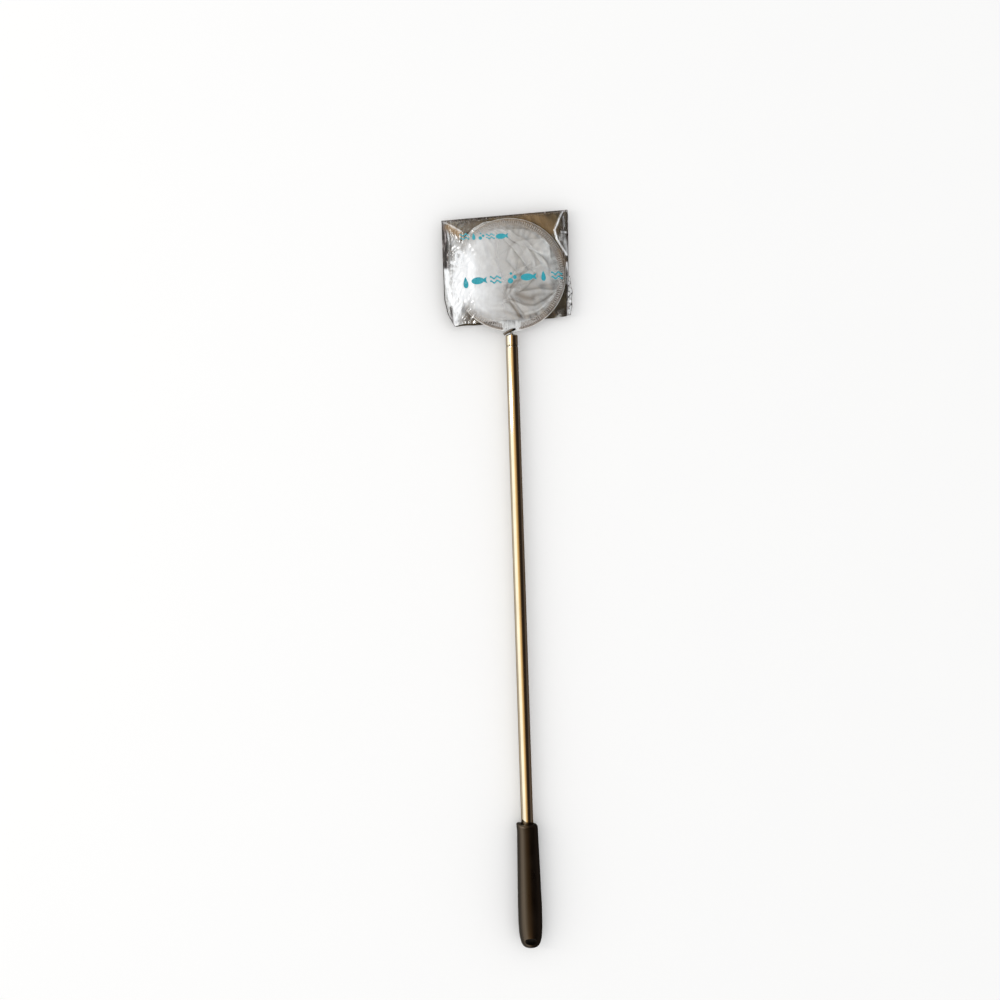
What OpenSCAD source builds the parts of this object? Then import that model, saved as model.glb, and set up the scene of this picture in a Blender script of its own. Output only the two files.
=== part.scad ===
// Aquarium hand net with a telescoping handle, lying flat with a clear sleeve over its head.
// +Y runs along the handle to the hoop and +Z is square to the hoop. The origin is the
// centre of the hang slot in the grip's end, on the handle's axis. Sizes are in millimetres.

/* [Hoop and net] */
// Outer diameter of the hemmed hoop
hoop_d = 75; // [60:1:110]
// Diameter of the hoop's spring wire
wire_d = 1.8; // [1.6:0.1:2.2]
// Thickness of the folded netting round the wire
hem_t = 0.35; // [0.3:0.05:0.6]
// Width of the hem, from the hoop's outer edge to its stitched inner edge
hem_w = 5; // [4:0.5:8]
// Half the width of the opening in the hem at the neck
neck_half_w = 4.5; // [4:0.25:6]
// Bend radius where the wire turns down into its tang
tang_bend_r = 3; // [2.5:0.25:4]
// Length of the wire's tail beside the neck, measured along the handle
tail_drop = 3.6; // [3:0.2:4]
// How far the wire's tail reaches to the side
tail_reach = 5.2; // [5:0.1:6]
// Depth of the mesh pouch as it lies folded flat
pouch_depth = 5.2; // [4:0.2:5.6]
// Thickness of the folded mesh of the pouch
pouch_t = 0.5; // [0.4:0.1:0.8]
// Depth of the folds that ring the flattened pouch
fold_depth = 0.35; // [0:0.05:0.5]

/* [Handle tubes] */
// Outer diameter of the handle's outer tube
outer_tube_d = 8; // [8:0.5:10]
// Outer diameter of the middle section
middle_tube_d = 6; // [5.8:0.1:6]
// Outer diameter of the inner section
inner_tube_d = 4.2; // [4:0.1:4.2]
// Wall of the outer tube
outer_wall = 0.35; // [0.3:0.05:0.4]
// Wall of the two inner tubes
inner_wall = 0.3; // [0.25:0.05:0.35]
// Length of outer tube that shows between the grip and its mouth
bare_tube_l = 324.6; // [200:1:400]
// Gap between the tube's mouth and the hoop's edge
neck_gap = 2.6; // [2.4:0.1:5]
// How far the middle section's mouth lies inside the outer one
mouth_step = 1; // [0.6:0.1:2]
// How far the inner section's tip stands out of the mouth
tip_proud = 0.5; // [0.2:0.1:1]

/* [Crimps, bushes and springs] */
// Distance from a mouth to its ring of crimp dimples
crimp_drop = 7.4; // [6:0.2:9]
// Number of dimples in a ring
crimp_count = 6; // [4:1:8]
// Radius of the crimping punch
punch_r = 1.2; // [1:0.1:1.4]
// Depth of a crimp dimple
crimp_depth = 0.22; // [0.15:0.01:0.25]
// Length of a guide bush
bush_l = 12; // [11:0.5:16]
// Length of a friction spring
spring_l = 14; // [10:1:20]
// Width of the slit along a friction spring
spring_slit = 0.8; // [0.5:0.1:1.2]
// Radius of the swaged bead above a friction spring
bead_r = 0.35; // [0.25:0.05:0.4]
// Thickness of the flange on a foot ferrule
ferrule_flange_t = 1.2; // [1:0.1:2]
// Length of a foot ferrule inside its tube
ferrule_l = 6; // [4:0.5:10]
// Length of the socket that holds the hoop's tang
socket_l = 14; // [12:0.5:20]
// Length of the tang inside its socket
tang_grip_l = 11; // [8:0.5:13]

/* [Grip] */
// Length of the grip from its tip to its top
grip_l = 81.75; // [70:1:120]
// Largest diameter of the grip
grip_d = 16; // [15:0.5:20]
// Diameter of the grip just under its top edge
grip_top_d = 13.8; // [13:0.2:15]
// Distance from the grip's tip to its widest place
grip_belly_l = 27.75; // [20:1:35]
// Squareness of the grip's domed end, where 2 is an ellipse
grip_dome_power = 4; // [3:0.5:5]
// Rounding of the grip's top edge
grip_top_r = 2.4; // [1.5:0.1:2.8]
// Distance from the grip's tip to the centre of the hang slot
slot_from_tip = 5.25; // [5:0.25:8]
// Width of the hang slot across the grip
slot_w = 8.4; // [7:0.2:9]
// Height of the hang slot along the grip
slot_h = 4.8; // [4.4:0.2:5]
// Thickness of rubber between the hang slot and the tube's plug
slot_backing = 3; // [2:0.25:6]

/* [Tube plug] */
// Thickness of the plug's flange
plug_flange_t = 1.5; // [1:0.1:2]
// Length of the plug inside the tube
plug_l = 6; // [4:0.5:10]

/* [Clear sleeve] */
// Width of the sleeve at its closed end
sleeve_w = 84; // [82:1:120]
// Distance from the hoop's centre to the sleeve's closed end
sleeve_up = 39.6; // [39:0.2:60]
// Distance from the hoop's centre to the sleeve's open mouth
sleeve_down = 31; // [20:1:36]
// Thickness of the sleeve from front to back
sleeve_t = 16; // [16:0.5:24]
// Thickness of the film
film_t = 0.3; // [0.2:0.05:0.4]
// Run over which the film closes down to the seal
sleeve_run = 35; // [25:1:40]
// Angle by which the sleeve lies turned on the hoop
sleeve_turn = 3.2; // [0:0.2:4]

/* [Fits] */
// Radial clearance of what slides or turns
running_gap = 0.05; // [0.02:0.01:0.08]
// Radial clearance of what is pressed or crimped in place
fixed_gap = 0.02; // [0.01:0.01:0.03]
// Radial clearance between a rolled mouth and the tube that passes through it
mouth_gap = 0.1; // [0.08:0.01:0.15]
// Clearance along the handle at the end of each slide
stop_gap = 0.3; // [0.2:0.05:0.5]
// Clearance along the handle beside a trapped piece
float_gap = 0.15; // [0.1:0.05:0.2]

/* [Hidden] */

$fn = 72;
overrun = 1;

outer_r = outer_tube_d / 2;
outer_bore_r = outer_r - outer_wall;
middle_r = middle_tube_d / 2;
middle_bore_r = middle_r - inner_wall;
inner_r = inner_tube_d / 2;
inner_bore_r = inner_r - inner_wall;
wire_r = wire_d / 2;

// A mouth is rolled in until it just clears the tube that passes through it
outer_roll_r = outer_r - middle_r - mouth_gap;
middle_roll_r = middle_r - inner_r - mouth_gap;

// Places along the handle, from the grip's tip to the hoop
grip_tip_y = -slot_from_tip;
grip_top_y = grip_tip_y + grip_l;
grip_belly_y = grip_tip_y + grip_belly_l;
plug_foot_y = slot_h / 2 + slot_backing;
outer_foot_y = plug_foot_y + plug_flange_t;
plug_top_y = outer_foot_y + plug_l;
outer_mouth_y = grip_top_y + bare_tube_l;
middle_ferrule_y = plug_top_y + stop_gap;
middle_foot_y = middle_ferrule_y + ferrule_flange_t;
middle_mouth_y = outer_mouth_y - mouth_step;
inner_ferrule_y = middle_foot_y + ferrule_l + stop_gap;
inner_foot_y = inner_ferrule_y + ferrule_flange_t;
inner_tip_y = outer_mouth_y + tip_proud;
tang_foot_y = inner_tip_y - tang_grip_l;
hoop_y = outer_mouth_y + neck_gap + hoop_d / 2;

// A bush lies under the rolled mouth, and a bead lies above the spring that it keeps down
outer_bush_y = outer_mouth_y - outer_roll_r - float_gap - bush_l;
middle_bush_y = middle_mouth_y - middle_roll_r - float_gap - bush_l;
function spring_foot(foot_y) = foot_y + float_gap;
function bead_y(foot_y) = spring_foot(foot_y) + spring_l + float_gap + bead_r;

// Travel of each section, until its bead meets the bush above it
middle_travel = outer_bush_y - bead_y(middle_foot_y) - bead_r - stop_gap;
inner_travel = middle_bush_y - bead_y(inner_foot_y) - bead_r - stop_gap;
echo(middle_travel = middle_travel, inner_travel = inner_travel);

// The hem wraps the wire, and its flat band ends at the stitched inner edge
ring_r = hoop_d / 2 - hem_t - wire_r;
hem_tube_r = hoop_d / 2 - ring_r;
hem_inner_r = hoop_d / 2 - hem_w;
hem_opening = asin(neck_half_w / ring_r);
bend_turn = asin(tang_bend_r / (ring_r + tang_bend_r));
bend_y = hoop_y - (ring_r + tang_bend_r) * cos(bend_turn);
tail_rise = wire_d + running_gap;
rim_r = hem_inner_r + pouch_t;
fold_count = 3;

// Rows along the sleeve from its mouth to its seal, and its half widths there
row_shares = [0, 0.12, 0.26, 0.42, 0.56, 0.68, 0.79, 0.88, 0.94, 0.975, 1];
left_shares = [0.943, 1.03, 1.066, 1.05, 1.04, 1.03, 1.02, 1.01, 1.005, 1, 1];
right_shares = [0.95, 0.95, 0.95, 0.955, 0.96, 0.97, 0.98, 0.99, 0.995, 1, 1];
seal_w = sleeve_up - hoop_d / 2 - stop_gap;
loop_steps = 40;

wire_steps = 84;
bend_steps = 10;
tail_steps = 14;
wire_sides = 10;

// Moves a shape that was turned about Z onto the handle's axis
module along_handle() {
    rotate([-90, 0, 0]) children();
}

// Points of an arc about a centre, from one angle to another
function arc(centre, r, from, to, steps) =
    [for (i = [0:steps]) let (a = from + (to - from) * i / steps) centre + r * [cos(a), sin(a)]];

// Punches one ring of dimples, where the ball's centre lies outside the tube
module dimple_ring(tube_r, ring_y, ball_r) {
    for (i = [0:crimp_count - 1])
        along_handle() rotate([0, 0, i * 360 / crimp_count])
            translate([tube_r - crimp_depth + punch_r, 0, ring_y]) sphere(r = ball_r, $fn = 32);
}

// A tube with a ring of crimp dimples that stand out inside it as bumps
module crimped_tube(tube_r, wall, ring_y) {
    difference() {
        union() {
            children();
            intersection() {
                dimple_ring(tube_r, ring_y, punch_r + wall);
                along_handle() translate([0, 0, ring_y - punch_r - wall])
                    cylinder(r = tube_r - wall / 2, h = 2 * (punch_r + wall));
            }
        }
        dimple_ring(tube_r, ring_y, punch_r);
    }
}

// A tube's wall, rolled in at the mouth
module rolled_tube(tube_r, wall, roll_r, foot_y, mouth_y) {
    roll = [tube_r - roll_r, mouth_y - roll_r];
    along_handle() rotate_extrude()
        polygon(concat(
            [[tube_r - wall, foot_y], [tube_r, foot_y]],
            arc(roll, roll_r, 0, 90, 8),
            arc(roll, roll_r - wall, 90, 0, 8)
        ));
}

// A plain tube whose cut tip is bevelled
module bevelled_tube(tube_r, wall, foot_y, tip_y) {
    along_handle() rotate_extrude()
        polygon([
            [tube_r - wall, foot_y], [tube_r, foot_y], [tube_r, tip_y - wall / 2],
            [tube_r - wall / 2, tip_y], [tube_r - wall, tip_y]
        ]);
}

// The bead that keeps a friction spring down
module foot_bead(tube_r, wall, foot_y) {
    along_handle() rotate_extrude()
        polygon(concat(
            [[tube_r - wall / 2, bead_y(foot_y) - bead_r]],
            arc([tube_r, bead_y(foot_y)], bead_r, -90, 90, 10),
            [[tube_r - wall / 2, bead_y(foot_y) + bead_r]]
        ));
}

// A guide bush with a groove that the crimp bumps stand in
module guide_bush(bore_r, outside_r, foot_y, mouth_y, tube_wall) {
    groove_y = mouth_y - crimp_drop;
    groove_half = sqrt(pow(punch_r + tube_wall, 2) - pow(punch_r + tube_wall - crimp_depth, 2));
    groove_r = outside_r - crimp_depth - running_gap;
    top_y = foot_y + bush_l;
    along_handle() rotate_extrude()
        polygon([
            [bore_r, foot_y], [outside_r, foot_y],
            [outside_r, groove_y - groove_half - float_gap],
            [groove_r, groove_y - groove_half - float_gap],
            [groove_r, groove_y + groove_half + float_gap],
            [outside_r, groove_y + groove_half + float_gap],
            [outside_r, top_y], [bore_r, top_y]
        ]);
}

// A split sleeve that rides on a tube's foot and rubs in the bore round it
module friction_spring(tube_r, bore_r, foot_y) {
    r_in = tube_r + running_gap;
    r_out = bore_r - running_gap;
    waist = (r_out - r_in) / 3;
    y = spring_foot(foot_y);
    difference() {
        along_handle() rotate_extrude()
            polygon([
                [r_in, y], [r_out - waist, y], [r_out, y + spring_l / 8],
                [r_out, y + spring_l / 4], [r_out - waist, y + spring_l * 3 / 8],
                [r_out - waist, y + spring_l * 5 / 8], [r_out, y + spring_l * 3 / 4],
                [r_out, y + spring_l * 7 / 8], [r_out - waist, y + spring_l], [r_in, y + spring_l]
            ]);
        translate([-spring_slit / 2, y - overrun, 0])
            cube([spring_slit, spring_l + 2 * overrun, r_out + overrun]);
    }
}

// A flanged ferrule pressed into a tube's foot
module foot_ferrule(tube_r, bore_r, foot_y) {
    spigot_r = bore_r - fixed_gap;
    flange_r = tube_r + bead_r;
    hole_r = spigot_r / 2;
    along_handle() rotate_extrude()
        polygon([
            [hole_r, foot_y - ferrule_flange_t], [flange_r, foot_y - ferrule_flange_t],
            [flange_r, foot_y], [spigot_r, foot_y],
            [spigot_r, foot_y + ferrule_l], [hole_r, foot_y + ferrule_l]
        ]);
}

// Half profile of the domed end, from the tip's centre to the grip's widest place
function dome_points(belly_r) = [
    for (i = [0:18])
        let (a = i * 90 / 18, power = 2 / grip_dome_power)
            [belly_r * pow(sin(a), power), grip_belly_y - grip_belly_l * pow(cos(a), power)]
];

module hang_slot() {
    linear_extrude(height = 2 * grip_d, center = true) {
        square([slot_w - slot_h, slot_h], center = true);
        for (side = [-1, 1]) translate([side * (slot_w - slot_h) / 2, 0]) circle(d = slot_h);
    }
}

module grip() {
    top_arc = [grip_top_d / 2 - grip_top_r, grip_top_y - grip_top_r];
    color([0.09, 0.08, 0.07]) difference() {
        along_handle() rotate_extrude()
            polygon(concat(
                dome_points(grip_d / 2),
                arc(top_arc, grip_top_r, 0, 90, 8),
                [[0, grip_top_y]]
            ));
        along_handle() translate([0, 0, plug_foot_y])
            cylinder(r = outer_r + fixed_gap, h = grip_top_y - plug_foot_y + overrun);
        hang_slot();
    }
}

module outer_tube() {
    color("silver") crimped_tube(outer_r, outer_wall, outer_mouth_y - crimp_drop)
        rolled_tube(outer_r, outer_wall, outer_roll_r, outer_foot_y, outer_mouth_y);
}

module tube_end_plug() {
    spigot_r = outer_bore_r - fixed_gap;
    color([0.15, 0.15, 0.16]) along_handle() rotate_extrude()
        polygon([
            [0, plug_foot_y], [outer_r, plug_foot_y], [outer_r, outer_foot_y],
            [spigot_r, outer_foot_y], [spigot_r, plug_top_y], [0, plug_top_y]
        ]);
}

module outer_guide_bush() {
    color("ivory") guide_bush(
        middle_r + running_gap, outer_bore_r - fixed_gap, outer_bush_y, outer_mouth_y, outer_wall
    );
}

module middle_tube() {
    color("silver") crimped_tube(middle_r, inner_wall, middle_mouth_y - crimp_drop) {
        rolled_tube(middle_r, inner_wall, middle_roll_r, middle_foot_y, middle_mouth_y);
        foot_bead(middle_r, inner_wall, middle_foot_y);
    }
}

module middle_friction_spring() {
    color("darkgoldenrod") friction_spring(middle_r, outer_bore_r, middle_foot_y);
}

module middle_foot_ferrule() {
    color("goldenrod") foot_ferrule(middle_r, middle_bore_r, middle_foot_y);
}

module middle_guide_bush() {
    color("ivory") guide_bush(
        inner_r + running_gap, middle_bore_r - fixed_gap, middle_bush_y, middle_mouth_y, inner_wall
    );
}

module inner_tube() {
    color("silver") crimped_tube(inner_r, inner_wall, inner_tip_y - crimp_drop) {
        bevelled_tube(inner_r, inner_wall, inner_foot_y, inner_tip_y);
        foot_bead(inner_r, inner_wall, inner_foot_y);
    }
}

module inner_friction_spring() {
    color("darkgoldenrod") friction_spring(inner_r, middle_bore_r, inner_foot_y);
}

module inner_foot_ferrule() {
    color("goldenrod") foot_ferrule(inner_r, inner_bore_r, inner_foot_y);
}

module tang_socket() {
    outside_r = inner_bore_r - fixed_gap;
    groove_y = inner_tip_y - crimp_drop;
    groove_half = sqrt(pow(punch_r + inner_wall, 2) - pow(punch_r + inner_wall - crimp_depth, 2));
    groove_r = outside_r - crimp_depth - running_gap;
    foot_y = inner_tip_y - socket_l;
    color("gray") difference() {
        along_handle() rotate_extrude()
            polygon([
                [0, foot_y], [outside_r, foot_y],
                [outside_r, groove_y - groove_half - float_gap],
                [groove_r, groove_y - groove_half - float_gap],
                [groove_r, groove_y + groove_half + float_gap],
                [outside_r, groove_y + groove_half + float_gap],
                [outside_r, inner_tip_y], [0, inner_tip_y]
            ]);
        along_handle() translate([0, 0, tang_foot_y])
            cylinder(r = wire_r + fixed_gap, h = tang_grip_l + overrun);
    }
}

function bezier(p, u) =
    pow(1 - u, 3) * p[0] + 3 * pow(1 - u, 2) * u * p[1] + 3 * (1 - u) * u * u * p[2] + pow(u, 3) * p[3];
function eased(u) = let (v = min(1, max(0, u))) v * v * (3 - 2 * v);
function unit(v) = v / norm(v);
function flat_to_3d(points) = [for (p = points) [p[0], p[1], 0]];

// Route of the hoop's wire: up the tang, round the ring, and over the tang to the tail's end
function tang_route() = [for (y = [tang_foot_y, (tang_foot_y + bend_y) / 2]) [0, y, 0]];
function bend_route() =
    flat_to_3d(arc([-tang_bend_r, bend_y], tang_bend_r, 0, 90 - bend_turn, bend_steps));
function ring_route() = [
    for (i = [1:wire_steps])
        let (a = -90 - bend_turn - (360 - bend_turn - hem_opening) * i / wire_steps)
            [ring_r * cos(a), hoop_y + ring_r * sin(a), 0]
];
function tail_route() =
    let (
        from = [ring_r * sin(hem_opening), hoop_y - ring_r * cos(hem_opening)],
        to = [-tail_reach, hoop_y - ring_r - tail_drop],
        reach = norm(to - from) / 3,
        hold = [
            from, from + reach * [-cos(hem_opening), -sin(hem_opening)],
            to + reach * unit([tail_reach, tail_drop]), to
        ]
    )
    [
        for (i = [1:tail_steps])
            let (u = i / tail_steps, p = bezier(hold, u)) [p[0], p[1], tail_rise * eased(2.2 * u)]
    ];

// A round wire along a route, with a ring of points at each of the route's points
module wire_along(route, r, sides) {
    last = len(route) - 1;
    rings = [
        for (i = [0:last])
            let (
                ahead = unit(route[min(last, i + 1)] - route[max(0, i - 1)]),
                out = unit(cross(ahead, [0, 0, 1])),
                up = cross(out, ahead)
            )
            for (k = [0:sides - 1])
                let (a = k * 360 / sides) route[i] + r * (cos(a) * out + sin(a) * up)
    ];
    walls = [
        for (i = [0:last - 1], k = [0:sides - 1])
            let (here = i * sides, next = (k + 1) % sides)
                [here + k, here + next, here + sides + next, here + sides + k]
    ];
    ends = [
        [for (k = [0:sides - 1]) sides - 1 - k],
        [for (k = [0:sides - 1]) last * sides + k]
    ];
    polyhedron(points = rings, faces = concat(walls, ends), convexity = 6);
}

module hoop_wire() {
    color("dimgray")
        wire_along(concat(tang_route(), bend_route(), ring_route(), tail_route()), wire_r, wire_sides);
}

module net_hem() {
    color("white") translate([0, hoop_y, 0])
        rotate([0, 0, hem_opening - 90]) rotate_extrude(angle = 360 - 2 * hem_opening)
            difference() {
                union() {
                    translate([ring_r, 0]) circle(r = hem_tube_r);
                    translate([hem_inner_r, -hem_t]) square([ring_r - hem_inner_r, 2 * hem_t]);
                }
                translate([ring_r, 0]) circle(r = wire_r + running_gap);
            }
}

// Half profile of the flattened pouch, whose folds fade out toward its rim
function pouch_side(edge_r, depth) = [
    for (i = [0:30])
        let (
            share = sin(i * 3),
            wave = fold_depth * (1 - cos(360 * fold_count * share)) / 2,
            drop = (depth - wave) * sqrt(1 - share * share)
        )
        [edge_r * share, -hem_t - drop]
];

module net_pouch() {
    outside = pouch_side(rim_r, pouch_depth);
    inside = pouch_side(rim_r - pouch_t, pouch_depth - pouch_t);
    color([0.94, 0.95, 0.96]) translate([0, hoop_y, 0]) rotate_extrude()
        polygon(concat(outside, [for (i = [len(inside) - 1:-1:0]) inside[i]]));
}

// Half thickness of the sleeve at a distance from its seal
function sleeve_rise(depth, from_seal) =
    let (left = 1 - min(sleeve_run, max(0, from_seal)) / sleeve_run) depth * sqrt(1 - left * left);

// One loop of film round the sleeve, drawn in from the outside by inset
function film_loop(row, inset, along) = [
    for (k = [0:loop_steps - 1])
        let (
            a = k * 360 / loop_steps,
            shares = cos(a) < 0 ? left_shares : right_shares,
            half_w = lookup(row, [for (i = [0:len(row_shares) - 1]) [row_shares[i], shares[i]]])
                * sleeve_w / 2 - inset,
            half_t = max(film_t / 2, sleeve_rise(sleeve_t / 2, sleeve_up - along - inset) - inset)
        )
        [sign(cos(a)) * half_w * pow(abs(cos(a)), 0.8), along, half_t * sin(a)]
];

module clear_sleeve() {
    span = sleeve_up + sleeve_down;
    inner_span = span - seal_w;
    outer_rows = [for (s = row_shares) film_loop(s, 0, s * span - sleeve_down)];
    inner_rows = [
        for (s = row_shares)
            film_loop(s * inner_span / span, film_t, s * inner_span - sleeve_down)
    ];
    points = [for (rows = [outer_rows, inner_rows], row = rows, p = row) p];
    n = loop_steps;
    rows = len(row_shares);
    function at(skin, row, k) = (skin * rows + row) * n + k % n;
    skins = [
        for (skin = [0, 1], row = [0:rows - 2], k = [0:n - 1])
            let (a = at(skin, row, k), b = at(skin, row, k + 1),
                c = at(skin, row + 1, k + 1), d = at(skin, row + 1, k))
            for (face = skin == 0 ? [[a, c, b], [a, d, c]] : [[a, b, c], [a, c, d]]) face
    ];
    mouth = [
        for (k = [0:n - 1])
            let (a = at(0, 0, k), b = at(0, 0, k + 1), c = at(1, 0, k + 1), d = at(1, 0, k))
            for (face = [[a, b, c], [a, c, d]]) face
    ];
    caps = [
        [for (k = [0:n - 1]) at(0, rows - 1, n - 1 - k)],
        [for (k = [0:n - 1]) at(1, rows - 1, k)]
    ];
    color([0.75, 0.8, 0.8, 0.5]) translate([0, hoop_y, 0]) rotate([0, 0, sleeve_turn])
        polyhedron(points = points, faces = concat(skins, mouth, caps), convexity = 6);
}

grip();
outer_tube();
tube_end_plug();
outer_guide_bush();
middle_tube();
middle_friction_spring();
middle_foot_ferrule();
middle_guide_bush();
inner_tube();
inner_friction_spring();
inner_foot_ferrule();
tang_socket();
hoop_wire();
net_hem();
net_pouch();
clear_sleeve();
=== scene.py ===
# %% [markdown]
# # An aquarium hand net in its clear sleeve
# A fine white mesh bag hangs in a sprung wire hoop, on a telescoping steel handle with a foam
# rubber grip. The head still lies in the clear film sleeve that it is sold in.
# The CAD model is loaded first as a fixed frame. Each visible piece is then made to sit on it.

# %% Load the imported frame
import math
from contextlib import contextmanager

import bmesh
import bpy
import numpy as np
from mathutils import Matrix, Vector
from mathutils.geometry import delaunay_2d_cdt


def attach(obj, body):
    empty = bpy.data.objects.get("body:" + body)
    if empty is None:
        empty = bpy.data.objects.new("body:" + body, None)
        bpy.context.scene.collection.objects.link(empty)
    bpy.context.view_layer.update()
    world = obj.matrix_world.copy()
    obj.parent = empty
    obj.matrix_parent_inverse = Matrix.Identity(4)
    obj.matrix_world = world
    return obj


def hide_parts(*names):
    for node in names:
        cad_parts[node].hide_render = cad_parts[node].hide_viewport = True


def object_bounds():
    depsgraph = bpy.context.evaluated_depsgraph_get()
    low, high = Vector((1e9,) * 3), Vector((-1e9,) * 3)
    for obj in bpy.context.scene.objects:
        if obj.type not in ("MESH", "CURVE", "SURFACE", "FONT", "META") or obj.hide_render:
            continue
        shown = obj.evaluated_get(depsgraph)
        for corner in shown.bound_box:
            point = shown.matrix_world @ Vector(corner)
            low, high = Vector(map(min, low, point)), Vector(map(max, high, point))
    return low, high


MM = 0.001
HOOP_Y = 441.2  # place of the hoop's middle along the handle, in millimetres
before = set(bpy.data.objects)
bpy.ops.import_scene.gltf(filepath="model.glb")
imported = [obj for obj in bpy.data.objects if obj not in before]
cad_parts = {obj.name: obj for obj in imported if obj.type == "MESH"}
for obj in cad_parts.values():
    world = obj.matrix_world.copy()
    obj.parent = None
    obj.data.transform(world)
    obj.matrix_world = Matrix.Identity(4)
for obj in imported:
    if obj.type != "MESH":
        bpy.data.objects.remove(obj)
cad_box = [list(corner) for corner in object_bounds()]
scene = bpy.context.scene


def add_object(name, data):
    """Puts an object in the scene, at the origin and unturned."""
    thing = bpy.data.objects.new(name, data)
    scene.collection.objects.link(thing)
    return thing


print("CAD box, mm:", [[round(v / MM, 1) for v in corner] for corner in cad_box])

# %% [markdown]
# ## Camera, floor and light
# The photograph is taken from straight above, with the handle leaning a little. A 50 mm lens
# stands 0.92 m up, where an arm would hold it: near enough that the hang slot at the far end is
# seen at a slant and looks dark. The net lies on a plain white floor.

# %% Camera
LENS, SENSOR, CAMERA_UP, LEAN = 50, 36, 0.922, -1.84
camera = add_object("camera", bpy.data.cameras.new("camera"))
camera.data.lens, camera.data.sensor_width = LENS, SENSOR
camera.location = (-0.0112, 0.2919, CAMERA_UP)
camera.rotation_euler = (0, 0, math.radians(LEAN))
scene.camera = camera
scene.view_settings.view_transform = "Standard"
print("frame width at the handle's axis, mm:", round(SENSOR / LENS * CAMERA_UP / MM, 1))


# %% [markdown]
# Every material and every Geometry Nodes tree below is written with one small helper: it adds
# a node, sets its settings and fills its inputs, either with a value or with a link.

# %% Node helper
def add(tree, kind, inputs=None, **settings):
    """Adds a node to a tree. inputs maps a socket's name or number to a value or a link."""
    node = tree.nodes.new(kind)
    for key, value in settings.items():
        setattr(node, key, value)
    for key, value in (inputs or {}).items():
        if isinstance(value, bpy.types.NodeSocket):
            tree.links.new(value, node.inputs[key])
        else:
            node.inputs[key].default_value = value
    return node


def math_node(tree, operation, a, b=0.0, clamp=False):
    """One step of arithmetic on values or links."""
    return add(tree, "ShaderNodeMath", {0: a, 1: b}, operation=operation, use_clamp=clamp).outputs[0]


def plus(tree, a, b, clamp=False):
    return math_node(tree, "ADD", a, b, clamp)


def times(tree, a, b, clamp=False):
    return math_node(tree, "MULTIPLY", a, b, clamp)


def ramp(tree, value, stops):
    """A colour ramp. stops are (place, colour), where a bare number is a grey."""
    node = add(tree, "ShaderNodeValToRGB", {"Fac": value})
    elements = node.color_ramp.elements
    while len(elements) < len(stops):
        elements.new(0.5)
    for element, (place, colour) in zip(elements, stops):
        element.position = place
        rgb = colour if hasattr(colour, "__len__") else (colour,) * 3
        element.color = (*rgb, 1)
    return node.outputs["Color"]


def remap(tree, value, low, high, to_low=0.0, to_high=1.0):
    """Maps one range of values onto another, and holds it within the second."""
    return add(tree, "ShaderNodeMapRange", {
        "Value": value, "From Min": low, "From Max": high, "To Min": to_low, "To Max": to_high,
    }).outputs["Result"]


def blend_colours(tree, share, first, second, blend_type="MIX"):
    """Mixes two colours by a share, where each of the three is a value or a link."""
    node = add(tree, "ShaderNodeMix", data_type="RGBA", blend_type=blend_type)
    for socket, value in ((node.inputs[0], share), (node.inputs[6], first), (node.inputs[7], second)):
        if isinstance(value, bpy.types.NodeSocket):
            tree.links.new(value, socket)
        else:
            socket.default_value = (*value, 1) if hasattr(value, "__len__") else value
    return node.outputs[2]


def new_material(name):
    """An empty material and its tree, with the piece's own coordinates in metres."""
    material = bpy.data.materials.new(name)
    material.use_nodes = True
    tree = material.node_tree
    tree.nodes.clear()
    return material, tree, add(tree, "ShaderNodeTexCoord").outputs["Object"]


def shader(tree, kind, inputs=None):
    """One of Blender's surface shaders, by the last part of its node's name."""
    return add(tree, "ShaderNodeBsdf" + kind, inputs).outputs[0]


def mix_shaders(tree, share, first, second):
    return add(tree, "ShaderNodeMixShader", {0: share, 1: first, 2: second}).outputs[0]


def show(tree, surface):
    """Makes a shader the material's surface."""
    add(tree, "ShaderNodeOutputMaterial", {"Surface": surface})


def grain(tree, coords, size, detail=3.0, stretch=(1, 1, 1)):
    """Noise whose spots are about size millimetres across, drawn out where stretch is under 1."""
    scale = tuple(share / (size * MM) for share in stretch)
    mapping = add(tree, "ShaderNodeMapping", {"Vector": coords, "Scale": scale})
    return add(tree, "ShaderNodeTexNoise", {
        "Vector": mapping.outputs[0], "Scale": 1.0, "Detail": detail,
    }).outputs["Fac"]


def bump(tree, height, depth, strength=1.0):
    """Turns a height from 0 to 1 into a relief that is depth millimetres deep."""
    return add(tree, "ShaderNodeBump", {
        "Height": height, "Distance": depth * MM, "Strength": strength,
    }).outputs["Normal"]


# %% [markdown]
# The light is a plain white surround. What polished steel shows is what stands round it, so
# reflections see a studio instead: a cream panel on the left, a tan ceiling and a dark right
# side. Only glossy rays see it, and so it adds no light to the floor.

# %% World
world = bpy.data.worlds.new("studio")
scene.world = world
world.use_nodes = True
world.cycles.sampling_method = "NONE"
sky = world.node_tree
sky.nodes.clear()
way = add(sky, "ShaderNodeSeparateXYZ", {0: add(sky, "ShaderNodeTexCoord").outputs["Generated"]})
leftward = math_node(sky, "ARCTAN2", times(sky, way.outputs[0], -1.0), way.outputs[2])
share = plus(sky, math_node(sky, "DIVIDE", leftward, math.pi), 0.5)


def place(degrees):
    """Place on the ramp of a direction, in degrees to the left of straight up."""
    return degrees / 180 + 0.5


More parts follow.
